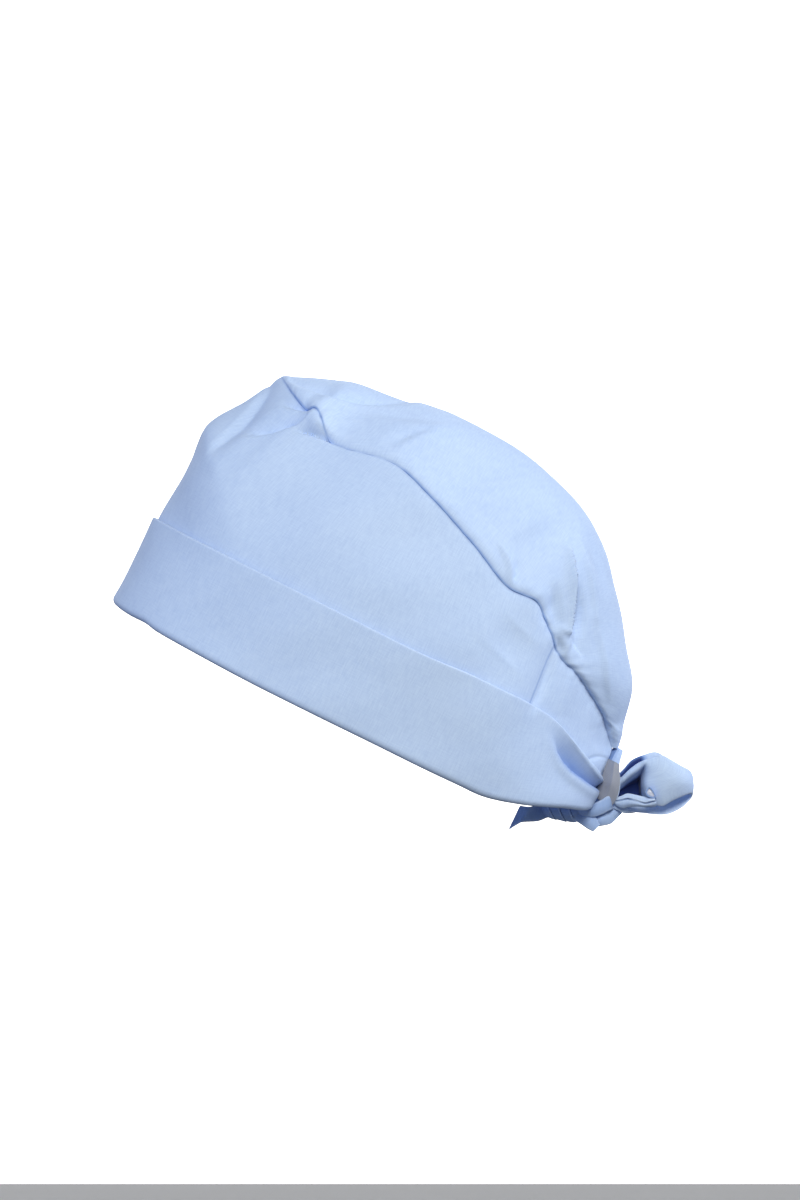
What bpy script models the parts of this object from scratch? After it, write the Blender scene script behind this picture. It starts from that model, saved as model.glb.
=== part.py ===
"""Scrub cap: side wall, crown and gussets, turned-up cuff, keeper, label and tied bow.

The cloth is modelled in the cap's own frame: x to the wearer's left, y from front to back
along the rim and z square to the rim, with its origin in the middle of the head opening.
An empty there tilts the cap as it is worn, forehead high and nape low. The ties hang from
a second empty at the keeper, which stays upright. Lengths are in metres.
"""
import math

import bmesh
import bpy
import numpy as np

# Overall sizes of the cap as worn
CAP_LENGTH = 0.207      # forehead to nape along the rim, over the cuff
CAP_WIDTH = 0.158       # ear to ear, over the cuff
CAP_HEIGHT = 0.128      # rim to the top of the crown, square to the rim
CUFF_HEIGHT = 0.0395    # turned-up band at the forehead
WORN_TILT = math.radians(27.5)
OVAL_FULLNESS = 0.9     # under 1 the rim's oval is fuller than an ellipse
CROWN_ROUNDNESS = 2.5   # over 2 the crown puffs out beside its seams
LEAN_BEND = 0.06        # how softly the wall bends where it starts to lean in

# Cloth and clearances
CLOTH = 0.0011
CUFF_CLOTH = 0.0010
TIE_CLOTH = 0.0012
LABEL_CLOTH = 0.0005
GAP = 0.0003            # between pieces that touch
SEAM_GAP = 0.0004       # between the crown's edge and the wall's, at their seam
MITRE_LIMIT = math.radians(50)   # half the sharpest bend that the seam's mitre follows
PEAK_AHEAD = 0.3        # sections ahead at which the peak's slope is read, as it has no width
PEAK_FADE = 3.0         # how fast that lead dies away from section to section
CUFF_STANDOFF = 0.0008  # between the cuff and the wall that it folds round
CUFF_LIP = 0.008        # the part of the cuff that goes up inside the wall
LIP_LIMIT = 0.4         # the most that the lip takes of the cuff's height

# Keeper, label and ties
KEEPER_HEIGHT = 0.0240
KEEPER_UP = 0.0284      # middle of the keeper above the rim plane
KEEPER_THICKNESS = 0.0100
RING_POINT = 0.10       # over 0 the keeper's flattened ring is pointed at both tips
LABEL_HEIGHT = 0.0150
LABEL_ACROSS = (0.04, 1.08)   # its front and rear edge across the keeper's band
TIES_FROM_NAPE = 0.15   # the ties' middle behind the nape, as a share of the keeper's height
TIE_WIDTH = 0.0210
BOW_REACH = 0.0302      # how far the loop stands out behind the keeper
BOW_DEPTH = 0.0180      # how far the loop opens from side to side
TIE_PUFF = 0.0020       # how far the loop bellies out between its edges
KNOT_LENGTH = 0.0285
KNOT_HEIGHT = 0.0088
KNOT_RISE = 0.0030      # how much higher its forward end lies
KNOT_WIDTH = 0.0130
KNOT_DROP = 0.0164      # middle of the knot under the middle of the keeper
KNOT_BEHIND = 0.055     # share of the knot that lies behind the ties' middle
KNOT_BLUNT = 4          # over 2 its ends are blunter than an ellipse's
KNOT_WRAPS = 3
WRAP_SWELL = 0.10       # how far each wrap stands out, as a share of the radius
WRAP_SLANT = 0.05       # how far each wrap leans, as a share of the knot's length
TAIL_LENGTH = 0.0135
END_ROWS = (1.4, 3.4)   # the stretch of the loop's rows that the short end lies along
END_ACROSS = (0.06, 0.32)   # its lower and upper edge across the loop

# Mesh fineness: points along, then across
STEPS_PER_SECTION = 2
WALL_ROWS = 11
CUFF_ROWS = 6
CUFF_BENDS = (-45, 0, 45)   # degrees round the cuff's turned lower edge
CROWN_COLUMNS = 17
KEEPER_STEPS = (28, 4)
LABEL_STEPS = (11, 5)
LOOP_STEPS = (24, 6)
KNOT_STEPS = (19, 16)
END_STEPS = (7, 4)
TAIL_STEPS = (8, 4)
SHARP_ANGLE = math.radians(40)
SLOPE_STEP = 0.02       # step in row and share at which a surface's slope is read
SEAM_STEP = 0.01        # the same for the seam's own direction

# Cotton blend and woven label: linear colour, roughness and sheen
COTTON = ((0.52, 0.66, 0.87), 0.85, 0.2)
WOVEN = ((0.20, 0.23, 0.35), 0.7, 0.1)

# The cap's sections, from the centre front to the nape on either side. Rim_turn is the angle
# round the rim's oval in degrees. Lengths along, out and up are shares of the cap's length,
# half width and height, and rim_up and cuff_up of the cuff's height. The wall stands upright
# up to lean_from of its height, and then leans in with the power lean_power.
SECTION_COLUMNS = ("rim_turn", "rim_up", "cuff_up", "seam_along", "seam_out", "seam_up",
                   "ridge_along", "ridge_up", "lean_from", "lean_power")
SECTIONS = (
    (0.0, -0.020, 0.911, 0.089, 0.000, 0.852, 0.089, 0.852, 0.71, 1.05),
    (22.0, -0.030, 0.911, 0.129, 0.300, 0.815, 0.135, 0.886, 0.66, 1.10),
    (32.0, -0.020, 0.911, 0.163, 0.425, 0.797, 0.184, 0.919, 0.58, 1.20),
    (38.0, -0.036, 0.914, 0.186, 0.485, 0.804, 0.222, 0.944, 0.52, 1.30),
    (49.0, -0.040, 0.920, 0.243, 0.595, 0.741, 0.280, 0.963, 0.42, 1.45),
    (67.0, -0.040, 0.930, 0.356, 0.720, 0.780, 0.372, 0.984, 0.32, 1.70),
    (82.0, -0.026, 0.940, 0.448, 0.775, 0.726, 0.464, 0.995, 0.28, 1.80),
    (98.0, -0.010, 0.950, 0.556, 0.790, 0.659, 0.580, 0.984, 0.26, 1.80),
    (110.0, -0.002, 0.985, 0.646, 0.770, 0.592, 0.686, 0.934, 0.24, 1.70),
    (119.0, 0.008, 0.995, 0.715, 0.710, 0.595, 0.783, 0.847, 0.20, 1.60),
    (125.0, 0.012, 1.000, 0.760, 0.650, 0.539, 0.850, 0.730, 0.16, 1.50),
    (130.0, 0.040, 0.990, 0.798, 0.575, 0.480, 0.908, 0.611, 0.12, 1.40),
    (138.0, 0.110, 0.945, 0.843, 0.465, 0.455, 0.957, 0.498, 0.06, 1.25),
    (153.0, 0.245, 0.790, 0.918, 0.240, 0.391, 0.978, 0.379, 0.02, 1.10),
    (167.0, 0.305, 0.706, 0.952, 0.125, 0.346, 0.980, 0.340, 0.01, 1.05),
    (178.3, 0.335, 0.646, 0.973, 0.040, 0.307, 0.980, 0.313, 0.00, 1.00),
)
ODD_COLUMNS = ("rim_turn", "seam_out")   # these change sign across the centre front
LAST = len(SECTIONS) - 1
GUSSET_FROM = 10.5                       # the section where side panel and gusset meet
GUSSET_SPACING = 0.035                   # share of the length from section to section there

FOLDS_END = (0.92, 0.98)   # folds die away between these shares of the way up to a seam
SIDE_SWITCH = 4            # how fast a one-sided fold dies away past the middle

# Folds and dents, seen from the side: where each starts and ends, as shares of the cap's
# length and height, its width as a share of the length, and its depth, out positive, as a
# share of the length. Side is 1 for the wearer's left, -1 for the right and 0 for both.
FOLD_COLUMNS = ("side", "from_along", "from_up", "to_along", "to_up", "width", "depth")
FOLDS = (
    (1, 0.182, 0.765, 0.225, 0.753, 0.026, 0.010),     # puff beside the front of the seam
    (1, 0.160, 0.765, 0.077, 0.615, 0.030, -0.007),    # crease that runs down from the puff
    (0, 0.079, 0.790, 0.042, 0.550, 0.030, -0.003),    # soft hollow behind the front edge
    (0, 0.111, 0.860, 0.327, 0.960, 0.030, -0.004),    # streak along the front of the crown
    (0, 0.319, 0.773, 0.406, 0.944, 0.040, 0.008),     # broad swell across the crown
    (1, 0.722, 0.785, 0.780, 0.620, 0.030, -0.010),    # rear crease of the crown
    (0, 0.785, 0.730, 0.890, 0.500, 0.030, 0.008),     # ridge that runs down to the neck
    (1, 0.752, 0.634, 0.771, 0.580, 0.030, -0.008),    # dent under the seam's rear bend
    (-1, 0.760, 0.700, 0.820, 0.520, 0.030, -0.009),   # the same gather on the right
    (0, 0.861, 0.231, 0.951, 0.174, 0.040, -0.013),    # hollow in the cuff before the keeper
    (0, 0.655, 0.586, 0.640, 0.399, 0.050, 0.006),     # swell of the side panel behind the ear
)

# Keeper seen from the side, bottom to top: up is a share of half its height, from its middle,
# and its front edge, from the nape, and its width are shares of its whole height.
KEEPER_COLUMNS = ("up", "front", "wide")
KEEPER = (
    (-1.0, 0.020, 0.27),
    (-0.5, -0.010, 0.33),
    (0.0, -0.045, 0.30),
    (0.5, -0.060, 0.22),
    (1.0, -0.005, 0.11),
)

# The loop of the bow from the keeper, out on the near side and back on the far side. Back is
# a share of the reach, side of the depth, and the two edges are shares of the tie's width.
BOW_COLUMNS = ("back", "side", "bottom", "top")
BOW = (
    (-0.11, 0.00, -0.45, 0.36),
    (0.14, 0.02, -0.44, 0.20),
    (0.26, 0.08, -0.44, 0.33),
    (0.40, 0.36, -0.47, 0.46),
    (0.58, 0.58, -0.49, 0.52),
    (0.78, 0.52, -0.50, 0.42),
    (0.93, 0.26, -0.48, 0.22),
    (0.96, -0.04, -0.50, 0.02),
    (0.86, -0.30, -0.61, 0.02),
    (0.62, -0.46, -0.67, 0.06),
    (0.38, -0.44, -0.65, 0.06),
    (0.24, -0.28, -0.64, 0.00),
)

# The forward tie end, from the knot to its slanted tip: forward is a share of its length,
# the side of the bow's depth, and the two edges are shares of the tie's width.
TAIL_COLUMNS = ("forward", "side", "bottom", "top")
TAIL = (
    (0.00, 0.00, 0.00, 0.22),
    (0.35, 0.10, -0.10, 0.20),
    (0.70, 0.18, -0.13, 0.22),
    (1.00, 0.20, -0.26, -0.22),
)


def columns(names, rows):
    """A table as one array for each of its named columns."""
    return dict(zip(names, np.array(rows, float).T))


def along_rows(table, at, odd=(), mirrored=False):
    """Reads every column at the row numbers in at, by a smooth curve through the rows.

    A mirrored table goes on in front of its first row as its own reflection, in which the odd
    columns change sign, and at may be negative there.
    """
    at = np.asarray(at, float)
    out = {}
    for name, rows in table.items():
        sign = -1.0 if name in odd else 1.0
        before = sign * rows[1] if mirrored else 2 * rows[0] - rows[1]
        padded = np.concatenate([[before], rows, [2 * rows[-1] - rows[-2]]])
        place = np.abs(at) if mirrored else at
        row = np.clip(np.floor(place).astype(int), 0, len(rows) - 2)
        f = place - row
        a, b, c, d = (padded[row + k] for k in range(4))
        value = b + 0.5 * f * (c - a + f * (2 * a - 5 * b + 4 * c - d + f * (3 * (b - c) + d - a)))
        out[name] = value * np.where(at < 0, sign, 1.0) if mirrored else value
    return out


def section(at):
    """The cap's section at signed row numbers, positive on the wearer's left, in metres."""
    row = along_rows(columns(SECTION_COLUMNS, SECTIONS), at, ODD_COLUMNS, mirrored=True)
    turn = np.radians(row["rim_turn"])
    wrap = CUFF_STANDOFF + CUFF_CLOTH
    half_width = CAP_WIDTH / 2 - wrap
    front = CAP_LENGTH / 2 - wrap
    reach = np.where(np.cos(turn) > 0, front, nape())
    rim = np.stack([
        half_width * np.sign(turn) * np.abs(np.sin(turn)) ** OVAL_FULLNESS,
        -reach * np.cos(turn),
        row["rim_up"] * CUFF_HEIGHT + fold_radius() + CUFF_CLOTH / 2,
    ], -1)
    seam = np.stack([
        row["seam_out"] * CAP_WIDTH / 2,
        (row["seam_along"] - 0.5) * CAP_LENGTH,
        row["seam_up"] * CAP_HEIGHT,
    ], -1)
    ridge = np.stack([
        np.zeros_like(turn),
        (row["ridge_along"] - 0.5) * CAP_LENGTH,
        row["ridge_up"] * CAP_HEIGHT,
    ], -1)
    return rim, seam, ridge, row


def nape():
    """How far behind the cap's middle the wall's outer face lies at the nape."""
    return (SECTIONS[LAST][SECTION_COLUMNS.index("seam_along")] - 0.5) * CAP_LENGTH + 2 * CLOTH


def fold_radius():
    """Radius of the cuff's turned lower edge, at the middle of its cloth."""
    return (CUFF_CLOTH + CLOTH) / 2 + CUFF_STANDOFF


def wall(at, share):
    """Outer face of the side wall: share runs from the rim, 0, up to the crown's seam, 1."""
    rim, seam, _, row = section(at)
    ramp = (share - row["lean_from"]) / (1 - row["lean_from"])
    ramp = (ramp + np.sqrt(ramp ** 2 + LEAN_BEND ** 2)) / 2
    lean = (ramp / (0.5 + 0.5 * math.sqrt(1 + LEAN_BEND ** 2))) ** row["lean_power"]
    point = rim + (seam - rim) * lean[..., None]
    point[..., 2] = rim[..., 2] + (seam[..., 2] - rim[..., 2]) * share
    return point


def crown(at, across):
    """Outer face of the crown: across runs from one seam, -1, over the ridge to the other, 1."""
    _, seam, ridge, _ = section(np.abs(at))
    share = np.abs(across)
    return np.stack([
        seam[..., 0] * across,
        ridge[..., 1] + (seam[..., 1] - ridge[..., 1]) * share ** 2,
        ridge[..., 2] + (seam[..., 2] - ridge[..., 2]) * share ** CROWN_ROUNDNESS,
    ], -1)


def unit(vector):
    return vector / np.maximum(np.linalg.norm(vector, axis=-1, keepdims=True), 1e-12)


def seam_mitre(at):
    """The seam, the way from wall to crown across it, and the way in along their mitre."""
    _, seam, _, _ = section(at)
    beyond = section(np.abs(at) + PEAK_AHEAD * np.exp(-PEAK_FADE * np.abs(at)))[2]
    run = unit(section(at + SEAM_STEP)[1] - section(at - SEAM_STEP)[1])
    up_wall = unit(wall(at, np.ones_like(at)) - wall(at, np.full_like(at, 1 - SEAM_STEP)))
    over_crown = (beyond - seam) * (1, 2, CROWN_ROUNDNESS)
    over_crown = unit(over_crown - run * (over_crown * run).sum(-1, keepdims=True))
    across = unit(up_wall + over_crown)
    inward = unit(np.cross(run, across))
    inward = inward * np.where((inward * seam).sum(-1, keepdims=True) > 0, -1, 1)
    half_bend = np.arccos(np.clip((up_wall * over_crown).sum(-1), -1, 1)) / 2
    depth = CLOTH / np.cos(np.minimum(half_bend, MITRE_LIMIT))
    return seam, across, inward * depth[..., None]


def fold_depth(point):
    """How far the folds lift the cloth at each point: each is a line with soft sides."""
    depth = np.zeros(point.shape[:-1])
    here = np.stack([point[..., 1] + CAP_LENGTH / 2, point[..., 2]], -1)
    for row in FOLDS:
        fold = dict(zip(FOLD_COLUMNS, row))
        start = np.array([fold["from_along"] * CAP_LENGTH, fold["from_up"] * CAP_HEIGHT])
        end = np.array([fold["to_along"] * CAP_LENGTH, fold["to_up"] * CAP_HEIGHT])
        line = end - start
        share = np.clip((here - start) @ line / (line @ line), 0, 1)
        away = np.linalg.norm(here - start - share[..., None] * line, axis=-1)
        width = fold["width"] * CAP_LENGTH
        lift = fold["depth"] * CAP_LENGTH * np.exp(-((away / width) ** 2))
        on_side = 1 / (1 + np.exp(-fold["side"] * point[..., 0] / width * SIDE_SWITCH))
        depth += lift * (on_side if fold["side"] else 1)
    return depth


def lifted(surface, at, across, extra=0.0):
    """Points of a surface moved out along its normal by its folds and by extra."""
    step = SLOPE_STEP
    along = surface(at + step, across) - surface(at - step, across)
    up = surface(at, np.minimum(across + step, 1)) - surface(at, np.maximum(across - step, -1))
    normal = unit(np.cross(along, up))
    point = surface(at, across)
    outward = np.where((normal * point).sum(-1) < 0, -1.0, 1.0)
    fading, gone = FOLDS_END
    move = fold_depth(point) * np.clip((gone - np.abs(across)) / (gone - fading), 0, 1) + extra
    return point + normal * (outward * move)[..., None]


def material(name, colour, roughness, sheen):
    """Woven cotton blend: dull, with a little sheen at glancing angles."""
    made = bpy.data.materials.new(name)
    made.use_nodes = True
    shader = made.node_tree.nodes["Principled BSDF"]
    shader.inputs["Base Color"].default_value = (*colour, 1.0)
    shader.inputs["Roughness"].default_value = roughness
    shader.inputs["Sheen Weight"].default_value = sheen
    return made


def add_sheet(mesh, points, turned=False, closed_rows=False):
    """Quads over an array of points, cut along the same diagonal either way round."""
    rows, cols = points.shape[:2]
    verts = [[mesh.verts.new(point) for point in line] for line in points]
    for i in range(rows if closed_rows else rows - 1):
        low, high = verts[i], verts[(i + 1) % rows]
        for j in range(cols - 1):
            if turned:
                mesh.faces.new((low[j], low[j + 1], high[j + 1], high[j]))
            else:
                mesh.faces.new((low[j], high[j], high[j + 1], low[j + 1]))
    return verts


def finish_object(name, mesh, parent, finish):
    """Merges points that coincide, and links the mesh as an object of its own."""
    bmesh.ops.remove_doubles(mesh, verts=mesh.verts, dist=1e-6)
    bmesh.ops.dissolve_degenerate(mesh, edges=mesh.edges, dist=1e-7)
    data = bpy.data.meshes.new(name)
    mesh.to_mesh(data)
    mesh.free()
    data.materials.append(finish)
    data.shade_smooth()
    data.set_sharp_from_angle(angle=SHARP_ANGLE)
    made = bpy.data.objects.new(name, data)
    made.parent = parent
    bpy.context.collection.objects.link(made)
    return made


def grid_object(name, points, parent, finish, closed_rows=False):
    """An open sheet, to be thickened."""
    mesh = bmesh.new()
    add_sheet(mesh, points, closed_rows=closed_rows)
    return finish_object(name, mesh, parent, finish)


def shell(name, outer, inner, parent, finish):
    """A wall between an outer and an inner sheet, closed by strips along its four edges."""
    mesh = bmesh.new()
    out_rows = add_sheet(mesh, outer)
    in_rows = add_sheet(mesh, inner, turned=True)
    around = []
    for rows in (out_rows, in_rows):
        first, last = rows[0], rows[-1]
        right = [row[-1] for row in rows[1:-1]]
        left = [row[0] for row in rows[-2:0:-1]]
        around.append(first + right + last[::-1] + left)
    count = len(around[0])
    for i in range(count):
        k = (i + 1) % count
        mesh.faces.new((around[0][i], around[0][k], around[1][k], around[1][i]))
    return finish_object(name, mesh, parent, finish)


def thicken(piece, thickness):
    """Gives a sheet its cloth, half on either side."""
    solid = piece.modifiers.new("cloth", "SOLIDIFY")
    solid.thickness = thickness
    solid.offset = 0
    solid.use_quality_normals = True
    solid.use_even_offset = False
    return piece


def steps(start, end, inset_start=0.0, inset_end=0.0):
    """Evenly spaced row numbers from start to end, of which the two ends may be drawn in."""
    at = np.linspace(start, end, int(round((end - start) * STEPS_PER_SECTION)) + 1)
    at[0] += inset_start
    at[-1] -= inset_end
    return at


def cuff_shares(at):
    """The heights of the cuff's rows of points, as shares of the wall's height."""
    rim, seam, _, row = section(at)
    rise = seam[:, 2] - rim[:, 2]
    top = (row["cuff_up"] * CUFF_HEIGHT - rim[:, 2]) / rise
    lip = np.minimum(CUFF_LIP / rise, LIP_LIMIT * top)
    return np.concatenate([0 * lip[:, None], np.linspace(lip, top, CUFF_ROWS - 1, axis=1)], 1)


def wall_panel(name, at, parent, finish):
    """A stretch of the side wall at the given row numbers, up to its mitre with the crown."""
    lower = cuff_shares(at)
    upper = np.linspace(lower[:, -1], np.ones_like(at), WALL_ROWS - CUFF_ROWS + 1, axis=1)[:, 1:]
    share = np.concatenate([lower, upper], 1)
    at_grid = np.broadcast_to(at[:, None], share.shape)
    outer = lifted(wall, at_grid, share)
    inner = lifted(wall, at_grid, share, -CLOTH)
    seam, across, inward = seam_mitre(at)
    outer[:, -1] = seam - across * SEAM_GAP / 2
    inner[:, -1] = outer[:, -1] + inward
    return shell(name, outer, inner, parent, finish)


def crown_panel(parent, finish):
    """The crown, one sheet from seam to seam that closes to a point at the peak."""
    at = steps(0, LAST)
    side = np.linspace(1, -1, CROWN_COLUMNS)
    at_grid, side_grid = np.meshgrid(at, side, indexing="ij")
    outer = lifted(crown, at_grid, side_grid)
    inner = lifted(crown, at_grid, side_grid, -CLOTH)
    for column, sign in ((0, 1), (-1, -1)):
        seam, across, inward = seam_mitre(sign * at)
        outer[:, column] = seam + across * SEAM_GAP / 2
        inner[:, column] = outer[:, column] + inward
    outer[0] = outer[0, 0]
    inner[0] = inner[0, 0]
    return shell("crown_panel", outer, inner, parent, finish)


def cuff(parent, finish):
    """The turned-up band: inner lip, rounded lower edge and outer leg, one folded strip."""
    at = steps(-LAST, LAST)
    radius = fold_radius()
    shares = cuff_shares(at)
    outer = CUFF_STANDOFF + CUFF_CLOTH / 2
    legs = [lifted(wall, at, shares[:, row], outer - 2 * radius) for row in (1, 0)]
    for angle in CUFF_BENDS:
        bend = math.radians(angle)
        foot = lifted(wall, at, shares[:, 0], outer - radius + radius * math.sin(bend))
        foot[:, 2] -= radius * math.cos(bend)
        legs.append(foot)
    for share in shares.T:
        legs.append(lifted(wall, at, share, outer))
    points = np.stack(legs, 1)
    return thicken(grid_object("cuff", points, parent, finish), CUFF_CLOTH)


def keeper_surface(turn, across, grow):
    """The keeper's band: turn goes round the flattened ring, across from front to back."""
    half = KEEPER_HEIGHT / 2 + grow
    up = np.sin(turn)
    side = np.cos(turn) * np.abs(np.cos(turn)) ** RING_POINT * (KEEPER_THICKNESS / 2 + grow)
    table = columns(KEEPER_COLUMNS, KEEPER)
    row = along_rows(table, np.interp(up, table["up"], np.arange(len(KEEPER))))
    front = nape() + GAP + row["front"] * KEEPER_HEIGHT
    return np.stack([
        side,
        front + across * row["wide"] * KEEPER_HEIGHT,
        KEEPER_UP + up * half,
    ], -1)


def keeper(parent, finish):
    """A short flattened tube round the ties."""
    turn = np.linspace(0, 2 * math.pi, KEEPER_STEPS[0], endpoint=False)
    across = np.linspace(0, 1, KEEPER_STEPS[1])
    points = keeper_surface(*np.meshgrid(turn, across, indexing="ij"), -CLOTH / 2)
    piece = grid_object("keeper", points, parent, finish, closed_rows=True)
    return thicken(piece, CLOTH)


def label(parent, finish):
    """A plain woven patch that lies on the keeper's left face."""
    reach = math.asin(LABEL_HEIGHT / KEEPER_HEIGHT)
    turn = np.linspace(-reach, reach, LABEL_STEPS[0])
    across = np.linspace(*LABEL_ACROSS, LABEL_STEPS[1])
    grow = GAP + LABEL_CLOTH / 2
    points = keeper_surface(*np.meshgrid(turn, across, indexing="ij"), grow)
    return thicken(grid_object("label", points, parent, finish), LABEL_CLOTH)


def ribbon_points(table_rows, names, reach, depth, at, across, puff, stand=0.0):
    """A flat tie on edge: each row gives its place and its lower and upper edge.

    Puff bellies it out between its edges, and stand moves all of it out along its normal.
    """
    row = along_rows(columns(names, table_rows), at)
    path = np.stack([row["side"] * depth, row[names[0]] * reach], -1)
    run = unit(np.gradient(path, axis=0))
    normal = np.stack([run[:, 1], -run[:, 0]], -1)
    out = (1 - (2 * across - 1) ** 2) * puff + stand
    flat = path[:, None, :] + normal[:, None, :] * out[None, :, None]
    bottom = row["bottom"][:, None] * TIE_WIDTH
    top = row["top"][:, None] * TIE_WIDTH
    up = bottom + (top - bottom) * across[None, :]
    return np.concatenate([flat, up[..., None]], -1)


def bow_loop(parent, finish):
    """The loop: out of the keeper on the near side, round, and back on the far side."""
    at = np.linspace(0, len(BOW) - 1, LOOP_STEPS[0])
    across = np.linspace(0, 1, LOOP_STEPS[1])
    points = ribbon_points(BOW, BOW_COLUMNS, BOW_REACH, BOW_DEPTH, at, across, TIE_PUFF)
    return thicken(grid_object("bow_loop", points, parent, finish), TIE_CLOTH)


def knot(parent, finish):
    """A short thick roll whose radius swells over each wrap and closes at both ends."""
    along = np.linspace(0, 1, KNOT_STEPS[0])
    turn = np.linspace(0, 2 * math.pi, KNOT_STEPS[1], endpoint=False)
    along, turn = np.meshgrid(along, turn, indexing="ij")
    body = np.sqrt(np.clip(1 - (2 * along - 1) ** KNOT_BLUNT, 0, None))
    slant = along + WRAP_SLANT * np.cos(turn)
    wraps = 1 + WRAP_SWELL * np.cos(2 * math.pi * KNOT_WRAPS * slant)
    radius = body * wraps / (1 + WRAP_SWELL)
    points = np.stack([
        KNOT_WIDTH / 2 * radius * np.cos(turn),
        (KNOT_BEHIND - along) * KNOT_LENGTH,
        -KNOT_DROP + KNOT_RISE * along + KNOT_HEIGHT / 2 * radius * np.sin(turn),
    ], -1)
    mesh = bmesh.new()
    add_sheet(mesh, np.concatenate([points, points[:, :1]], 1), turned=True)
    return finish_object("knot", mesh, parent, finish)


def tie_end_back(parent, finish):
    """The short raw end that lies against the loop's face, in the hollow by the keeper."""
    at = np.linspace(*END_ROWS, END_STEPS[0])
    across = np.linspace(*END_ACROSS, END_STEPS[1])
    stand = TIE_CLOTH + 1.5 * GAP
    points = ribbon_points(BOW, BOW_COLUMNS, BOW_REACH, BOW_DEPTH, at, across, TIE_PUFF, stand)
    return thicken(grid_object("tie_end_back", points, parent, finish), TIE_CLOTH)


def tie_end_front(parent, finish):
    """The pointed end that lies forward from the knot, under the rim."""
    at = np.linspace(0, len(TAIL) - 1, TAIL_STEPS[0])
    across = np.linspace(0, 1, TAIL_STEPS[1])
    points = ribbon_points(TAIL, TAIL_COLUMNS, -TAIL_LENGTH, BOW_DEPTH, at, across, 0.0)
    points[..., 1] -= (1 - KNOT_BEHIND) * KNOT_LENGTH + GAP + TIE_CLOTH / 2
    points[..., 2] -= KNOT_DROP
    return thicken(grid_object("tie_end_front", points, parent, finish), TIE_CLOTH)


def empty(name, location, tilt):
    made = bpy.data.objects.new(name, None)
    made.location = location
    made.rotation_euler.x = tilt
    bpy.context.collection.objects.link(made)
    return made


def main():
    for old in list(bpy.data.objects):
        bpy.data.objects.remove(old, do_unlink=True)
    cotton = material("light_blue_cotton", *COTTON)
    woven = material("grey_woven_label", *WOVEN)

    cap = empty("head_opening", (0, 0, 0), -WORN_TILT)
    inset = GAP / 2 / (GUSSET_SPACING * CAP_LENGTH)
    wall_panel("side_panel", steps(-GUSSET_FROM, GUSSET_FROM, inset, inset), cap, cotton)
    wall_panel("gusset_left", steps(GUSSET_FROM, LAST, inset, 0), cap, cotton)
    wall_panel("gusset_right", steps(-LAST, -GUSSET_FROM, 0, inset), cap, cotton)
    crown_panel(cap, cotton)
    cuff(cap, cotton)
    keeper(cap, cotton)
    label(cap, woven)

    along = nape() + TIES_FROM_NAPE * KEEPER_HEIGHT
    middle = (
        0.0,
        along * math.cos(WORN_TILT) + KEEPER_UP * math.sin(WORN_TILT),
        -along * math.sin(WORN_TILT) + KEEPER_UP * math.cos(WORN_TILT),
    )
    ties = empty("keeper_middle", middle, 0.0)
    bow_loop(ties, cotton)
    knot(ties, cotton)
    tie_end_back(ties, cotton)
    tie_end_front(ties, cotton)


main()
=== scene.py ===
"""Scrub cap as worn: gathered crown, side wall, gussets, turned-up cuff, keeper, label and bow.

The cloth is worked out in the cap's own frame: x to the wearer's left, y from front to back
along the rim, z square to the rim, origin in the middle of the head opening. It is then tilted
as worn, forehead high and nape low. The ties are worked out round the keeper's middle and stay
upright. Lengths are in metres unless a name says otherwise.
"""
import math

import bmesh
import bpy
import numpy as np
from bpy.props import FloatProperty, FloatVectorProperty, PointerProperty
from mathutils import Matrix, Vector


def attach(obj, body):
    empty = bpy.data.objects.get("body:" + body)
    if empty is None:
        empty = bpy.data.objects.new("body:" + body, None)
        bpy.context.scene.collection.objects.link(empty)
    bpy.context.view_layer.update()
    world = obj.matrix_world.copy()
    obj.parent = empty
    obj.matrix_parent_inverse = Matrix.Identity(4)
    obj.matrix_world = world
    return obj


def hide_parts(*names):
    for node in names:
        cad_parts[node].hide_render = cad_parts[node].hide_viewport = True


bl_info = {
    "name": "Scrub Cap",
    "version": (1, 0, 0),
    "blender": (4, 5, 0),
    "location": "3D View > Sidebar > Scrub Cap",
    "description": "Cloth scrub cap as worn, with turned-up cuff, keeper, label and tied bow",
    "category": "Add Mesh",
}

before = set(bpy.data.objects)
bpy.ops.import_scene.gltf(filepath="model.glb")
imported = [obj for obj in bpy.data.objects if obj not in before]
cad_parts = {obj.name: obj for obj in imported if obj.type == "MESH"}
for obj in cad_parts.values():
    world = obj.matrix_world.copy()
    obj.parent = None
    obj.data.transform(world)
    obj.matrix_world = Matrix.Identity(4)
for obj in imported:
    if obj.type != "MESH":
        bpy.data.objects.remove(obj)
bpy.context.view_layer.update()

# The cap's sections, from the centre front to the nape on either side. Rim_turn is the angle
# round the rim's oval in degrees. Lengths along, out and up are shares of the cap's length,
# half width and height, and rim_up and cuff_up of the cuff's height. The wall stands upright
# up to lean_from of its height, and then leans in with the power lean_power.
SECTION_COLUMNS = ("rim_turn", "rim_up", "cuff_up", "seam_along", "seam_out", "seam_up",
                   "ridge_along", "ridge_up", "lean_from", "lean_power")
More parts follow.
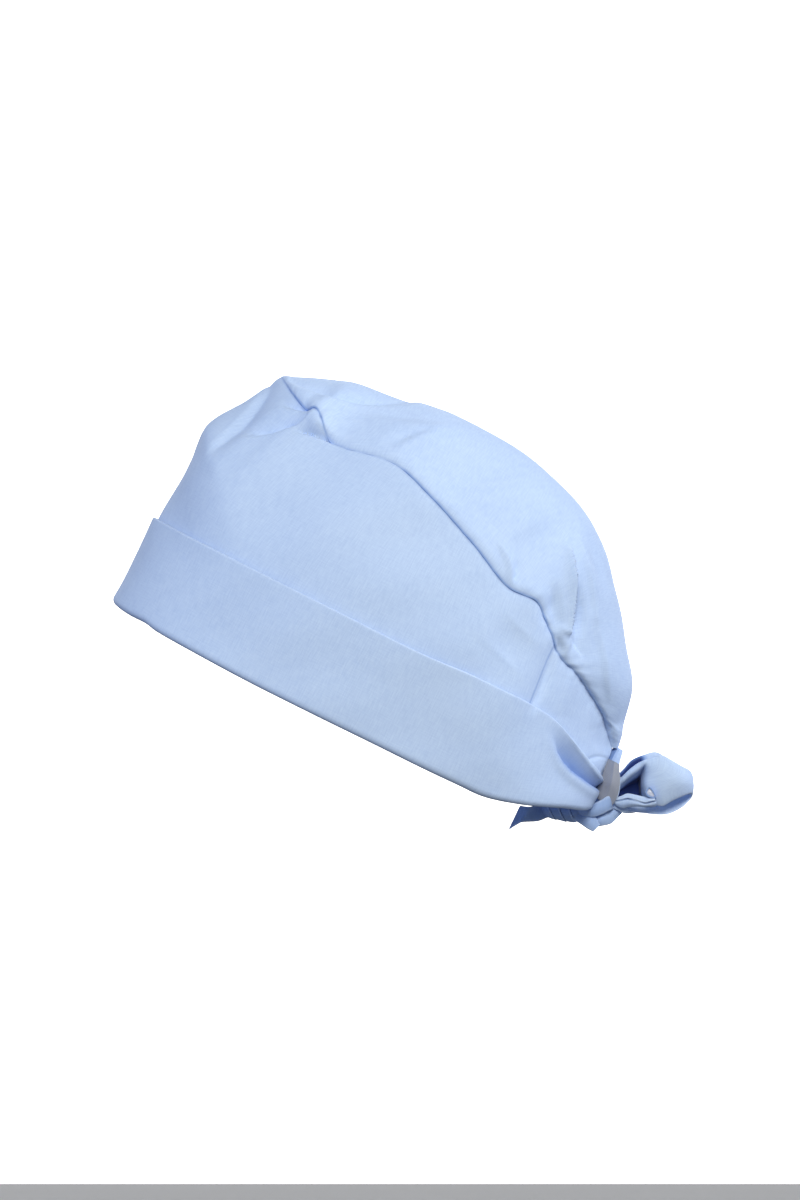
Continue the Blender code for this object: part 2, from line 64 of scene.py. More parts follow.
SECTIONS = (
    (0.0, -0.020, 0.911, 0.089, 0.000, 0.852, 0.089, 0.852, 0.71, 1.05),
    (22.0, -0.030, 0.911, 0.129, 0.300, 0.815, 0.135, 0.886, 0.66, 1.10),
    (32.0, -0.020, 0.911, 0.163, 0.425, 0.797, 0.184, 0.919, 0.58, 1.20),
    (38.0, -0.036, 0.914, 0.186, 0.485, 0.804, 0.222, 0.944, 0.52, 1.30),
    (49.0, -0.040, 0.920, 0.243, 0.595, 0.736, 0.280, 0.963, 0.42, 1.45),
    (67.0, -0.040, 0.930, 0.358, 0.720, 0.763, 0.372, 0.984, 0.32, 1.70),
    (82.0, -0.026, 0.940, 0.448, 0.775, 0.726, 0.464, 0.995, 0.28, 1.80),
    (98.0, -0.010, 0.950, 0.556, 0.790, 0.659, 0.580, 0.984, 0.26, 1.80),
    (110.0, -0.002, 0.985, 0.646, 0.770, 0.592, 0.686, 0.934, 0.24, 1.70),
    (119.0, 0.008, 0.995, 0.715, 0.710, 0.595, 0.783, 0.847, 0.20, 1.60),
    (125.0, 0.012, 1.000, 0.760, 0.650, 0.539, 0.850, 0.730, 0.16, 1.50),
    (130.0, 0.040, 0.990, 0.798, 0.575, 0.480, 0.908, 0.611, 0.12, 1.40),
    (138.0, 0.110, 0.945, 0.843, 0.465, 0.455, 0.957, 0.498, 0.06, 1.25),
    (153.0, 0.245, 0.790, 0.918, 0.240, 0.391, 0.978, 0.379, 0.02, 1.10),
    (167.0, 0.305, 0.706, 0.952, 0.125, 0.346, 0.980, 0.340, 0.01, 1.05),
    (178.3, 0.335, 0.646, 0.973, 0.040, 0.307, 0.980, 0.313, 0.00, 1.00),
)
ODD_COLUMNS = ("rim_turn", "seam_out")   # these change sign across the centre front
LAST = len(SECTIONS) - 1
GUSSET_FROM = 10.5                       # the section where side panel and gusset meet
OVAL_FULLNESS = 0.9
CROWN_ROUNDNESS = 2.5
LEAN_BEND = 0.06

# Grids: steps along each cloth and rows across it. Rows crowd towards a seam by a power.
WALL_STEPS, GUSSET_STEPS, CUFF_STEPS, CROWN_STEPS = 440, 110, 660, 190
WALL_ROWS, WALL_CROWD = 76, 1.35
CROWN_ROWS, CROWN_CROWD, PEAK_CROWD = 90, 1.25, 1.15   # rows on either side of the ridge
CUFF_ROWS = 58
TURN_STEPS = 7           # round the quarter turn at a seam
SHARP_ANGLE = math.radians(50)

# The cuff's middle line: shares of its lip, how far that goes up at most as a share of the
# band, degrees round its lower fold and over its upper edge, and how far the edge stands off
# the wall and the band between lies in.
LIP_SHARES, LIP_LIMIT = (1.0, 0.66, 0.33, 0.0), 0.4
FOLD_BENDS, EDGE_BENDS = (-60, -30, 0, 30, 60), (25, 50, 72)
CUFF_FLARE, CUFF_HUG = 0.00010298, 0.0002
FAR = 1e3                # no seam near

# Beside the crown's seam: how much of its pillow and gathers the wall takes, where each cloth
# puffs out most, from what share of the wall's height on, and how narrow the crown has to be
# for all this to fade. Then the widths and strengths of the painted shade along the seams, of the
# painted highlight along the pressed edges and of the painted shade in the cuff's pocket, with
# how far under the cuff's edge that shade starts.
WALL_PUFF, WALL_PUFF_AT, WALL_PUFF_FROM, CROWN_PUFF_AT = 0.3, 0.003, 0.3, 0.004
WALL_GATHER, CROWN_NARROW = 0.4, 0.02
WALL_SEAM_SHADE_WIDTH, CROWN_SEAM_SHADE_WIDTH, GUSSET_SEAM_SHADE = 0.0006, 0.0004, 0.8
CUFF_EDGE_HIGHLIGHT, CUFF_EDGE_HIGHLIGHT_WIDTH, CUFF_POCKET_SHADE, CUFF_POCKET_SHADE_FROM = 0.4, 0.0005, 1.1, 0.0015
TIE_EDGE_HIGHLIGHT, TIE_EDGE_HIGHLIGHT_WIDTH = 0.7, 0.0007

# Folds seen from the side: start and end as shares of the cap's length and height, width and
# depth as shares of the length. Bend bows the line, as a share of its own length. Steep makes
# the side to the left of its run gentler, 0 to 0.9, or the right one if negative. Sharp goes
# from 0, a soft swell, to 1, a pinched crease. Side is 1 for the wearer's left, -1 for the
# right and 0 for both.
FOLD_COLUMNS = ("side", "from_along", "from_up", "to_along", "to_up", "width", "depth",
                "bend", "steep", "sharp")
FOLDS = (
    # front of the seam: the puff, the hollow above it, the crease under it and the tuck beside it
    (1, 0.182, 0.770, 0.216, 0.757, 0.016, 0.0150, 0.00, 0.0, 0.0),
    (1, 0.126, 0.774, 0.168, 0.798, 0.011, -0.0120, 0.00, 0.5, 0.6),
    (1, 0.170, 0.772, 0.142, 0.716, 0.008, -0.0190, 0.08, -0.7, 0.5),
    (1, 0.146, 0.724, 0.090, 0.650, 0.012, -0.0160, 0.06, -0.7, 0.3),
    (1, 0.171, 0.720, 0.243, 0.738, 0.007, -0.0125, 0.03, 0.7, 0.8),
    (-1, 0.182, 0.765, 0.225, 0.753, 0.024, 0.0090, 0.00, 0.0, 0.0),
    (-1, 0.150, 0.760, 0.100, 0.560, 0.022, -0.0065, 0.05, 0.3, 0.3),
    # side panel
    (0, 0.080, 0.806, 0.044, 0.560, 0.011, -0.0140, 0.03, 0.7, 0.2),
    (0, 0.030, 0.690, 0.010, 0.550, 0.018, 0.0060, 0.00, 0.0, 0.0),
    (0, 0.655, 0.586, 0.640, 0.399, 0.050, 0.0060, 0.00, 0.0, 0.0),
    (1, 0.715, 0.500, 0.700, 0.400, 0.045, -0.0095, 0.00, 0.0, 0.0),
    (1, 0.780, 0.485, 0.793, 0.310, 0.013, -0.0075, 0.06, -0.5, 0.4),
    (1, 0.830, 0.430, 0.850, 0.320, 0.030, 0.0045, 0.00, 0.0, 0.0),
    (-1, 0.760, 0.700, 0.820, 0.520, 0.030, -0.0090, 0.00, 0.0, 0.2),
    (-1, 0.520, 0.640, 0.470, 0.420, 0.040, -0.0040, 0.00, 0.0, 0.0),
    # crown
    (0, 0.118, 0.850, 0.327, 0.968, 0.013, -0.0135, -0.05, 0.6, 0.4),
    (0, 0.240, 0.880, 0.420, 0.960, 0.020, -0.0070, -0.04, 0.5, 0.2),
    (0, 0.185, 0.826, 0.270, 0.846, 0.013, -0.0060, 0.00, 0.4, 0.3),
    (0, 0.360, 0.850, 0.410, 0.944, 0.030, 0.0090, 0.00, 0.3, 0.0),
    (0, 0.340, 0.808, 0.388, 0.900, 0.012, -0.0090, 0.05, 0.6, 0.4),
    (1, 0.470, 0.760, 0.560, 0.900, 0.024, -0.0070, 0.06, 0.4, 0.0),
    (1, 0.600, 0.710, 0.660, 0.850, 0.026, 0.0075, 0.04, 0.2, 0.0),
    (1, 0.605, 0.684, 0.648, 0.606, 0.009, 0.0080, 0.06, 0.6, 0.5),
    (1, 0.648, 0.665, 0.655, 0.608, 0.009, -0.0085, 0.00, 0.0, 0.5),
    (1, 0.735, 0.640, 0.762, 0.560, 0.017, -0.0130, 0.00, -0.5, 0.2),
    (1, 0.716, 0.785, 0.789, 0.555, 0.0085, 0.0185, 0.05, -0.6, 0.8),
    (1, 0.776, 0.672, 0.812, 0.552, 0.013, -0.0170, 0.07, -0.3, 0.3),
    (1, 0.800, 0.545, 0.799, 0.492, 0.007, 0.0055, 0.00, 0.0, 0.5),
    (1, 0.772, 0.556, 0.794, 0.556, 0.005, 0.0040, 0.00, 0.0, 0.4),
    (1, 0.779, 0.523, 0.790, 0.500, 0.006, -0.0080, 0.00, 0.0, 0.4),
    (1, 0.808, 0.542, 0.829, 0.519, 0.007, -0.0065, 0.00, 0.5, 0.6),
    (0, 0.730, 0.821, 0.829, 0.637, 0.011, 0.0065, 0.04, 0.6, 0.4),
    (0, 0.829, 0.637, 0.915, 0.455, 0.013, 0.0050, 0.02, 0.4, 0.2),
    (0, 0.751, 0.835, 0.815, 0.745, 0.018, -0.0075, 0.00, 0.0, 0.0),
    (1, 0.944, 0.345, 0.968, 0.392, 0.012, -0.0030, 0.00, 0.3, 0.0),
    (-1, 0.700, 0.780, 0.770, 0.600, 0.024, -0.0090, 0.00, 0.3, 0.3),
    (-1, 0.430, 0.760, 0.500, 0.900, 0.032, -0.0050, 0.00, 0.2, 0.1),
    # gusset
    (1, 0.938, 0.238, 0.970, 0.270, 0.006, -0.0030, 0.10, 0.0, 0.6),
    (1, 0.936, 0.330, 0.972, 0.278, 0.018, -0.0060, 0.00, 0.0, 0.0),
    (0, 0.988, 0.330, 0.988, 0.255, 0.020, 0.0100, 0.00, 0.0, 0.0),
)

# The pocket under the rear of the cuff's upper edge, seen from the side: its lower border and
# the cuff's edge above it, as shares of the cap's length and height. The cloth drops in at the
# border and comes back out at the edge.
POCKET_COLUMNS = ("along", "border_up", "edge_up", "deep")
POCKET = (
    (0.820, 0.270, 0.312, 0.00),
    (0.850, 0.250, 0.299, 0.15),
    (0.870, 0.222, 0.286, 0.40),
    (0.890, 0.201, 0.268, 0.75),
    (0.915, 0.186, 0.248, 1.00),
    (0.956, 0.175, 0.216, 1.10),
    (0.990, 0.168, 0.194, 1.00),
    (1.020, 0.160, 0.168, 1.00),
)
POCKET_DEPTH = 0.62    # as a share of its height
POCKET_STEP_MM = 1.1   # width of the step at its border
POCKET_SOFT = 0.12     # the step is at most 1 / this wider where the pocket is shallow
POCKET_RISE = 0.12     # how far the cloth swells under its border, as a share of its height
POCKET_RISE_AT, POCKET_RISE_WIDTH = 0.0018, 0.0022   # how far under it, and how wide
LEAST_POCKET = 0.0003  # keeps a share of its height from running off where it has none
FOLD_FADE = 0.5        # how much of its depth a fold loses at its ends
SIDE_SWITCH = 4        # how fast a one-sided fold dies away past the middle

# Slow swells that keep the cloth from looking drawn with a compass: direction of their run in
# degrees, length of one swell and height of it in mm, and where it starts.
SWELL_COLUMNS = ("run", "length_mm", "height_mm", "start")
SWELLS = (
    (20, 58, 0.30, 0.4),
    (75, 41, 0.22, 1.9),
    (-38, 33, 0.16, 4.4),
    (110, 23, 0.09, 2.6),
)

# Gathers square to the crown's seam: how strong they are at each section, as a share.
GATHER_AT = (0, 2, 3.5, 5, 8, 9.5, 10.5, 11.5, 13, 15)
GATHER = (0.3, 0.5, 0.9, 0.35, 0.3, 0.7, 1.0, 1.0, 0.6, 0.3)
GATHER_WAVES_MM = (9.3, 5.6)
GATHER_REACH = 0.008

# How far the crown's edge stands over the wall at each section, in mm.
OVERHANG_AT = (0, 1.2, 2.4, 3.0, 3.5, 4.2, 4.9, 5.4, 7.0, 10.0, 12.0, 13.5, 15.0)
OVERHANG_MM = (0.2, 0.6, 0.6, 0.5, 0.4, 0.20, 0.15, 0.5, 0.6, 0.5, 0.35, 0.25, 0.15)
OVERHANG_REACH = 0.005
OVERHANG_CROWN, OVERHANG_WALL = 0.65, 0.35   # how it's shared between the two cloths
SEAM_REACH = 0.006     # within it both cloths are moved along the seam's bisector


def linear(hex_colour):
    """An sRGB hex colour as linear red, green and blue."""
    value = np.array([int(hex_colour[k:k + 2], 16) for k in (1, 3, 5)]) / 255
    return tuple(np.where(value <= 0.04045, value / 12.92, ((value + 0.055) / 1.055) ** 2.4))


def length(name, text, default):
    return FloatProperty(name=name, description=text, default=default, min=0.0,
                         unit="LENGTH", subtype="DISTANCE", precision=5)


def colour(name, text, hex_colour):
    return FloatVectorProperty(name=name, description=text, default=linear(hex_colour),
                               subtype="COLOR", size=3, min=0.0, max=1.0)


class CapSizes(bpy.types.PropertyGroup):
    """Sizes of the cap as worn"""
    cap_length: length("Length", "Forehead to nape along the rim, over the cuff", 0.207)
    cap_width: length("Width", "Ear to ear, over the cuff", 0.158)
    cap_height: length("Height", "Rim to the top of the crown, square to the rim", 0.128)
    cuff_height: length("Cuff", "Height of the turned-up band at the forehead", 0.0395)
    worn_tilt: FloatProperty(name="Tilt", description="How far the forehead is lifted as worn",
                             default=math.radians(27.5), unit="ROTATION", subtype="ANGLE")
    cloth: length("Cloth", "Thickness of the panels with their folds", 0.0011)
    cuff_cloth: length("Cuff cloth", "Thickness of the cuff's inner layer", 0.0010)
    cuff_edge: length("Cuff edge", "Thickness of the cuff at its folded upper edge", 0.0012)
    standoff: length("Stand-off", "Between the cuff and the wall that it folds round", 0.0008)
    lip: length("Lip", "The part of the cuff that goes up inside the wall", 0.008)
    seam: length("Seam", "Radius at which a panel turns in at its seam", 0.0003)
    allowance: length("Allowance", "Width of the cloth that stands in behind a seam", 0.0030)
    pillow: length("Pillow", "How far the crown puffs out beside its seam", 0.0010)
    gather: length("Gathers", "Depth of the gathers along the crown's seam", 0.0005)


class TieSizes(bpy.types.PropertyGroup):
    """Sizes of the keeper, label and ties"""
    keeper_height: length("Keeper", "Height of the keeper", 0.0240)
    keeper_up: length("Keeper up", "Middle of the keeper above the rim plane", 0.0284)
    keeper_thickness: length("Keeper thickness", "From side to side", 0.0100)
    label_height: length("Label", "Height of the label round the keeper", 0.0150)
    tie_width: length("Tie width", "Width of the flat tie", 0.0210)
    tie_cloth: length("Tie cloth", "Thickness of the folded tie", 0.0012)
    knot_length: length("Knot length", "From end to end", 0.0285)
    knot_height: length("Knot height", "Over its wraps", 0.0088)
    knot_width: length("Knot width", "From side to side", 0.0130)


class ClothColours(bpy.types.PropertyGroup):
    """Colours of the cloths and the stage"""
    cotton: colour("Cotton", "Light blue of the cloth", "#b8ceef")
    # The deep blue below is painted shade: on the threads' flanks, along the seams, in the cuff's
    # pocket and on the keeper, knot and ties.
    cotton_shade: colour("Deep cotton", "Blue of its threads' shaded flanks and seams", "#6f90cc")
    # The blue below is painted shade for the darkest hollow, the pit inside the bow's loop.
    cotton_pit_shade: colour("Hollow cotton", "Blue deep inside a fold of a tie", "#182c68")
    # The pale blue below is the cut threads' blue, and also a painted highlight along the pressed
    # edges of the cuff, keeper and ties.
    pale_cotton_and_highlight: colour("Pale cotton", "Blue of its pressed edges", "#c4d6f4")
    core: colour("Core", "Inside of a raw tie end", "#e6e4ea")
    label: colour("Label", "Grey of the woven label", "#9097a9")
    label_deep: colour("Deep label", "Grey between its ribs", "#727a90")
    paper: colour("Stage", "Floor and walls", "#75777b")
    panel: colour("Panel", "Lit panel behind the cap", "#ffffff")


# Shapes of the cap's cloth

def columns(names, rows):
    """A table as one array for each of its named columns."""
    return dict(zip(names, np.array(rows, float).T))


def along_rows(table, at, odd=(), mirrored=False):
    """Every column at the row numbers in at, by a cubic through each four neighbouring rows.

    A mirrored table goes on in front of its first row as its own reflection, in which the odd
    columns change sign, and at may be negative there.
    """
    at = np.asarray(at, float)
    out = {}
    for name, rows in table.items():
        sign = -1.0 if name in odd else 1.0
        before = sign * rows[1] if mirrored else 2 * rows[0] - rows[1]
        padded = np.concatenate([[before], rows, [2 * rows[-1] - rows[-2]]])
        place = np.abs(at) if mirrored else at
        row = np.clip(np.floor(place).astype(int), 0, len(rows) - 2)
        f = place - row
        a, b, c, d = (padded[row + k] for k in range(4))
        value = b + 0.5 * f * (c - a + f * (2 * a - 5 * b + 4 * c - d + f * (3 * (b - c) + d - a)))
        out[name] = value * np.where(at < 0, sign, 1.0) if mirrored else value
    return out


def unit(vector):
    return vector / np.maximum(np.linalg.norm(vector, axis=-1, keepdims=True), 1e-12)


def nape(size):
    """How far behind the cap's middle the wall's outer face lies at the nape."""
    return (SECTIONS[LAST][3] - 0.5) * size.cap_length + 2 * size.cloth


def fold_radius(size):
    """Radius of the cuff's turned lower edge, at the middle of its cloth."""
    return (size.cuff_cloth + size.cloth) / 2 + size.standoff


def section(size, at):
    """Rim, seam and ridge points of the cap's section at signed row numbers.

    The rim is an oval, x = half width * |sin turn| ^ fullness, y = -reach * cos turn.
    """
    row = along_rows(columns(SECTION_COLUMNS, SECTIONS), at, ODD_COLUMNS, mirrored=True)
    turn = np.radians(row["rim_turn"])
    wrap = size.standoff + size.cuff_cloth
    reach = np.where(np.cos(turn) > 0, size.cap_length / 2 - wrap, nape(size))
    rim = np.stack([
        (size.cap_width / 2 - wrap) * np.sign(turn) * np.abs(np.sin(turn)) ** OVAL_FULLNESS,
        -reach * np.cos(turn),
        row["rim_up"] * size.cuff_height + fold_radius(size) + size.cuff_cloth / 2,
    ], -1)
    seam = np.stack([
        row["seam_out"] * size.cap_width / 2,
        (row["seam_along"] - 0.5) * size.cap_length,
        row["seam_up"] * size.cap_height,
    ], -1)
    ridge = np.stack([
        np.zeros_like(turn),
        (row["ridge_along"] - 0.5) * size.cap_length,
        row["ridge_up"] * size.cap_height,
    ], -1)
    return rim, seam, ridge, row


def wall(size, at, share):
    """Side wall from the rim, share 0, to the crown's seam, share 1.

    Height grows evenly with share. The way in from rim to seam is a ramp from lean_from on,
    softened at its foot, to the power lean_power.
    """
    rim, seam, _, row = section(size, at)
    ramp = (share - row["lean_from"]) / (1 - row["lean_from"])
    ramp = (ramp + np.sqrt(ramp ** 2 + LEAN_BEND ** 2)) / 2
    lean = (ramp / (0.5 + 0.5 * math.sqrt(1 + LEAN_BEND ** 2))) ** row["lean_power"]
    point = rim + (seam - rim) * lean[..., None]
    point[..., 2] = rim[..., 2] + (seam[..., 2] - rim[..., 2]) * share
    return point


def crown(size, at, across):
    """Crown from one seam, across -1, over the ridge to the other, 1.

    x is even in across, y falls from ridge to seam with across squared, and z with across to
    the power of the crown's roundness.
    """
    _, seam, ridge, _ = section(size, np.abs(at))
    share = np.abs(across)
    return np.stack([
        seam[..., 0] * across,
        ridge[..., 1] + (seam[..., 1] - ridge[..., 1]) * share ** 2,
        ridge[..., 2] + (seam[..., 2] - ridge[..., 2]) * share ** CROWN_ROUNDNESS,
    ], -1)


def seam_frame(size, at):
    """The seam, the ways up the wall, over the crown and across the seam, and the way in."""
    step = 0.01
    _, seam, _, _ = section(size, at)
    beyond = section(size, np.abs(at) + 0.3 * np.exp(-3 * np.abs(at)))[2]
    run = unit(section(size, at + step)[1] - section(size, at - step)[1])
    one = np.ones_like(at)
    up_wall = unit(wall(size, at, one) - wall(size, at, one - step))
    over = (beyond - seam) * (1, 2, CROWN_ROUNDNESS)
    over = unit(over - run * (over * run).sum(-1, keepdims=True))
    across = unit(up_wall + over)
    inward = unit(np.cross(run, across))
    inward *= np.where((inward * seam).sum(-1, keepdims=True) > 0, -1, 1)
    return seam, up_wall, over, across, inward


def side_view(size, point):
    """Places seen from the side: distance along the cap from its front, and height."""
    return np.stack([point[..., 1] + size.cap_length / 2, point[..., 2]], -1)


def pocket_place(size, here):
    """The pocket at places seen from the side: how far they lie over its lower border, also as
    a share of its height, the height, its strength, and the step at its border, 0 to 1."""
    pocket = columns(POCKET_COLUMNS, POCKET)
    share = here[..., 0] / size.cap_length
    border = np.interp(share, pocket["along"], pocket["border_up"]) * size.cap_height
    height = np.interp(share, pocket["along"], pocket["edge_up"]) * size.cap_height - border
    deep = np.interp(share, pocket["along"], pocket["deep"])
    over = here[..., 1] - border
    step = np.clip(over * 1000 / POCKET_STEP_MM * np.clip(deep, POCKET_SOFT, 1) + 0.5, 0, 1)
    return over, over / np.maximum(height, LEAST_POCKET), height, deep, step


def pocket_share(size, point):
    """How deep in the pocket a point lies, 0 to 1."""
    _, above, _, deep, step = pocket_place(size, side_view(size, point))
    return step * np.clip(deep, 0, 1) * np.clip(1.25 - above, 0, 1)


def fold_lift(size, point):
    """How far the folds and slow swells lift the cloth, from its place seen from the side.

    A fold is depth * exp(-(d / w)^2), mixed with a pinched 1 / (1 + (2 d / w)^2)^1.5 where it
    is sharp. d is the distance from a bowed line, and w is wider on its gentle side.
    """
    here = side_view(size, point)
    lift = np.zeros(point.shape[:-1])
    scale = np.array([size.cap_length, size.cap_height])
    for row in FOLDS:
        fold = dict(zip(FOLD_COLUMNS, row))
        start = np.array([fold["from_along"], fold["from_up"]]) * scale
        run = np.array([fold["to_along"], fold["to_up"]]) * scale - start
        reach = np.hypot(*run)
        run = run / reach
        ahead = (here - start) @ run
        share = np.clip(ahead / reach, 0, 1)
        off = (here - start) @ np.array([-run[1], run[0]])
        off = off - fold["bend"] * reach * 4 * share * (1 - share)
        width = fold["width"] * size.cap_length
        width = width * (1 + fold["steep"] * np.tanh(off / width))
        away = np.hypot(off, ahead - share * reach) / width
        form = (1 - fold["sharp"]) * np.exp(-away ** 2)
        form = form + fold["sharp"] / (1 + (2 * away) ** 2) ** 1.5
        form = form * (1 - FOLD_FADE * (2 * share - 1) ** 2)
        if fold["side"]:
            past = fold["side"] * point[..., 0] * SIDE_SWITCH / (fold["width"] * size.cap_length)
            form = form / (1 + np.exp(np.clip(-past, -50, 50)))
        lift += fold["depth"] * size.cap_length * form
    over, above, height, deep, step = pocket_place(size, here)
    drop = POCKET_DEPTH * deep * np.clip(height, 0, None) * step ** 2 * (3 - 2 * step)
    lift -= np.where(above < 1, drop * (1 - np.clip(above, 0, 1)) ** 0.8, 0)
    lift += POCKET_RISE * deep * height * bell(over + POCKET_RISE_AT, POCKET_RISE_WIDTH)
    for row in SWELLS:
        swell = dict(zip(SWELL_COLUMNS, row))
        turn = math.radians(swell["run"])
        phase = here @ np.array([math.cos(turn), math.sin(turn)]) + 0.6 * point[..., 0]
        lift += 0.001 * swell["height_mm"] * np.sin(
            phase * 2000 * math.pi / swell["length_mm"] + swell["start"])
    return lift


def face_normals(points, off_head=False):
    """Normals of a grid of points, from its differences both ways.

    Off_head ones point away from the head, and where a row has shrunk to one place they are
    its neighbour's.
    """
    normal = unit(np.cross(np.gradient(points, axis=0), np.gradient(points, axis=1)))
    if off_head:
        shrunk = np.linalg.norm(normal, axis=-1, keepdims=True) < 0.5
        normal = np.where(shrunk, np.roll(normal, -1, 0), normal)
        middle = len(normal) // 2, normal.shape[1] // 2
        normal = normal * (-1 if normal[middle] @ points[middle] < 0 else 1)
    return normal


def bell(away, width):
    """1 at a line, and dying away from it as exp(-(away / width)^2)."""
    return np.exp(-(away / width) ** 2)


def puff(size, away, peak):
    """How far the cloth swells beside its seam, at most where away is peak."""
    return size.pillow * away / peak * np.exp(1 - away / peak)


def gathers(size, at, seam, away):
    """Puckers square to the seam: two waves along it, dying away from it."""
    along = np.concatenate([[0], np.cumsum(np.linalg.norm(np.diff(seam, axis=0), axis=-1))])
    strength = np.interp(np.abs(at), GATHER_AT, GATHER)
    wave = sum(np.sin(along * 2000 * math.pi / mm + 2.0 * np.sin(along * 31 + mm))
               for mm in GATHER_WAVES_MM) / 2
    return size.gather * (strength * wave)[:, None] * np.exp(-away / GATHER_REACH)


def overhang(at, away):
    """How far the crown's edge stands over the wall, dying away from the seam."""
    height = 0.001 * np.interp(np.abs(at), OVERHANG_AT, OVERHANG_MM)
    return height[:, None] * bell(away, OVERHANG_REACH)


def groove(at):
    """How strong the painted shade along the crown's seam is at each section: the further the crown
    hangs over, the darker.
    """
    return np.interp(np.abs(at), OVERHANG_AT, np.clip(np.array(OVERHANG_MM) / 0.5, 0.25, 1))


def raised(size, surface, at, share, away, seam_out, extra):
    """A grid of the cap's cloth moved out by its folds.

    The way out turns from the cloth's own normal to the seam's bisector near the seam, so that
    both cloths meet there. Extra is a further lift.
    """
    if share.ndim == 1:
        share = np.broadcast_to(share, (len(at), len(share)))
    at = np.broadcast_to(at[:, None], share.shape)
    points = surface(size, at, share)
    step = 0.02
    along = surface(size, at + step, share) - surface(size, at - step, share)
    up = surface(size, at, np.minimum(share + step, 1))
    up = up - surface(size, at, np.maximum(share - step, -1))
    normal = unit(np.cross(along, up))
    normal = normal * np.where((normal * points).sum(-1, keepdims=True) < 0, -1, 1)
    near = bell(away, SEAM_REACH)[..., None]
    way = unit(normal * (1 - near) + seam_out * near)
    return points + way * (fold_lift(size, points) + extra)[..., None]


def turned_in(points, run_on, inward, radius, depth):
    """Further rows after a grid's last: a quarter turn inward, and then straight in.

    The turn is a quarter circle from the way on to the way in, with the given radius.
    """
    last = points[:, -1]
    radius = np.broadcast_to(radius, len(points))[:, None]
    rows = [last + run_on * radius * math.sin(turn) + inward * radius * (1 - math.cos(turn))
            for turn in np.linspace(0, math.pi / 2, TURN_STEPS)[1:]]
    rows += [rows[-1] + inward * depth * share for share in (0.35, 1.0)]
    return np.concatenate([points, np.stack(rows, 1)], 1)


# Meshes

def world_from_cap(size, points):
    """Tilts points of the cap's frame as worn."""
    c, s = math.cos(size.worn_tilt), math.sin(size.worn_tilt)
    x, y, z = np.moveaxis(points, -1, 0)
    return np.stack([x, y * c + z * s, -y * s + z * c], -1)


def grid_quads(rows, cols, ring=False):
    """Quads over a grid of points numbered row by row; a ring joins its last row to its first."""
    number = np.arange(rows * cols).reshape(rows, cols)
    if ring:
        number = np.concatenate([number, number[:1]])
    corners = number[:-1, :-1], number[1:, :-1], number[1:, 1:], number[:-1, 1:]
    return np.stack(corners, -1).reshape(-1, 4)


def arc_lengths(points, axis):
    """Distance run along one axis of a grid of points."""
    step = np.linalg.norm(np.diff(points, axis=axis), axis=-1)
    start = np.zeros_like(np.take(step, [0], axis))
    return np.concatenate([start, np.cumsum(step, axis)], axis)


def arc_grain(points):
    """Grain from the distances run along both axes of a grid."""
    return np.stack([arc_lengths(points, 0), arc_lengths(points, 1)], -1)


def band_grain(girth, climb):
    """Grain of a band: its place round the head, one for each row, and up or over it."""
    return np.stack([np.broadcast_to(girth, climb.shape), climb], -1)


def cloth_piece(name, node, outer, inner, grain, painted_light_and_tone, finish, ring=False):
    """A closed wall of cloth between an outer and an inner grid of points."""
    rows, cols = outer.shape[:2]
    count = rows * cols
    quads = grid_quads(rows, cols, ring)
    number = np.arange(count).reshape(rows, cols)
    if ring:
        loops = [np.append(number[:, k], number[0, k]) for k in (0, -1)]
    else:
        loops = [np.concatenate(
            [number[0], number[1:, -1], number[-1, -2::-1], number[-2::-1, 0]])]
    strips = [np.stack([edge[:-1], edge[1:], edge[1:] + count, edge[:-1] + count], -1)
              for edge in loops]
    mesh = bpy.data.meshes.new(name)
    mesh.from_pydata(np.concatenate([outer.reshape(-1, 3), inner.reshape(-1, 3)]), [],
                     np.concatenate([quads, quads[:, ::-1] + count] + strips))
    store(mesh, np.tile(grain.reshape(-1, 2), (2, 1)), np.tile(painted_light_and_tone.reshape(-1), 2))
    finish_piece(mesh, node, finish)


def cotton_piece(context, name, node, outer, inner, grain, painted_light_and_tone, ring=False):
    cloth_piece(name, node, outer, inner, grain, painted_light_and_tone, cotton_twill(context),
                ring)


def cap_piece(context, name, node, outer, inner, grain, painted_light_and_tone, ring=False):
    """A cotton piece whose points are given in the cap's frame."""
    size = context.scene.scrub_cap_sizes
    cotton_piece(context, name, node, world_from_cap(size, outer), world_from_cap(size, inner),
                 grain, painted_light_and_tone, ring)


def store(mesh, grain, painted_light_and_tone):
    """Keeps grain, the cloth's own place of each point in metres, as the UV map, and a mark of
    painted light and tone.

    The mark is painted shade below 0: -1 along a seam, in the cuff's pocket and on the shaded parts
    of the keeper, knot and ties, down to -2 deep inside the bow's pit. Above 0 it is a painted
    highlight along a pressed edge, 1 at most. On the label it darkens its ends.
    """
    mesh.attributes.new("painted_light_and_tone", "FLOAT", "POINT").data.foreach_set(
        "value", painted_light_and_tone.ravel().astype(np.float32))
    corner = np.empty(len(mesh.loops), np.int32)
    mesh.loops.foreach_get("vertex_index", corner)
    mesh.uv_layers.new(name="grain").data.foreach_set(
        "uv", grain.reshape(-1, 2)[corner].ravel().astype(np.float32))


def merge(mesh, closed=True):
    """Merges what coincides and turns every face one way, outward if the mesh is closed."""
    work = bmesh.new()
    work.from_mesh(mesh)
    bmesh.ops.remove_doubles(work, verts=work.verts, dist=1e-6)
    bmesh.ops.dissolve_degenerate(work, edges=work.edges, dist=1e-7)
    bmesh.ops.recalc_face_normals(work, faces=work.faces)
    if closed and work.calc_volume(signed=True) < 0:
        bmesh.ops.reverse_faces(work, faces=work.faces)
    work.to_mesh(mesh)
    work.free()
    mesh.shade_smooth()


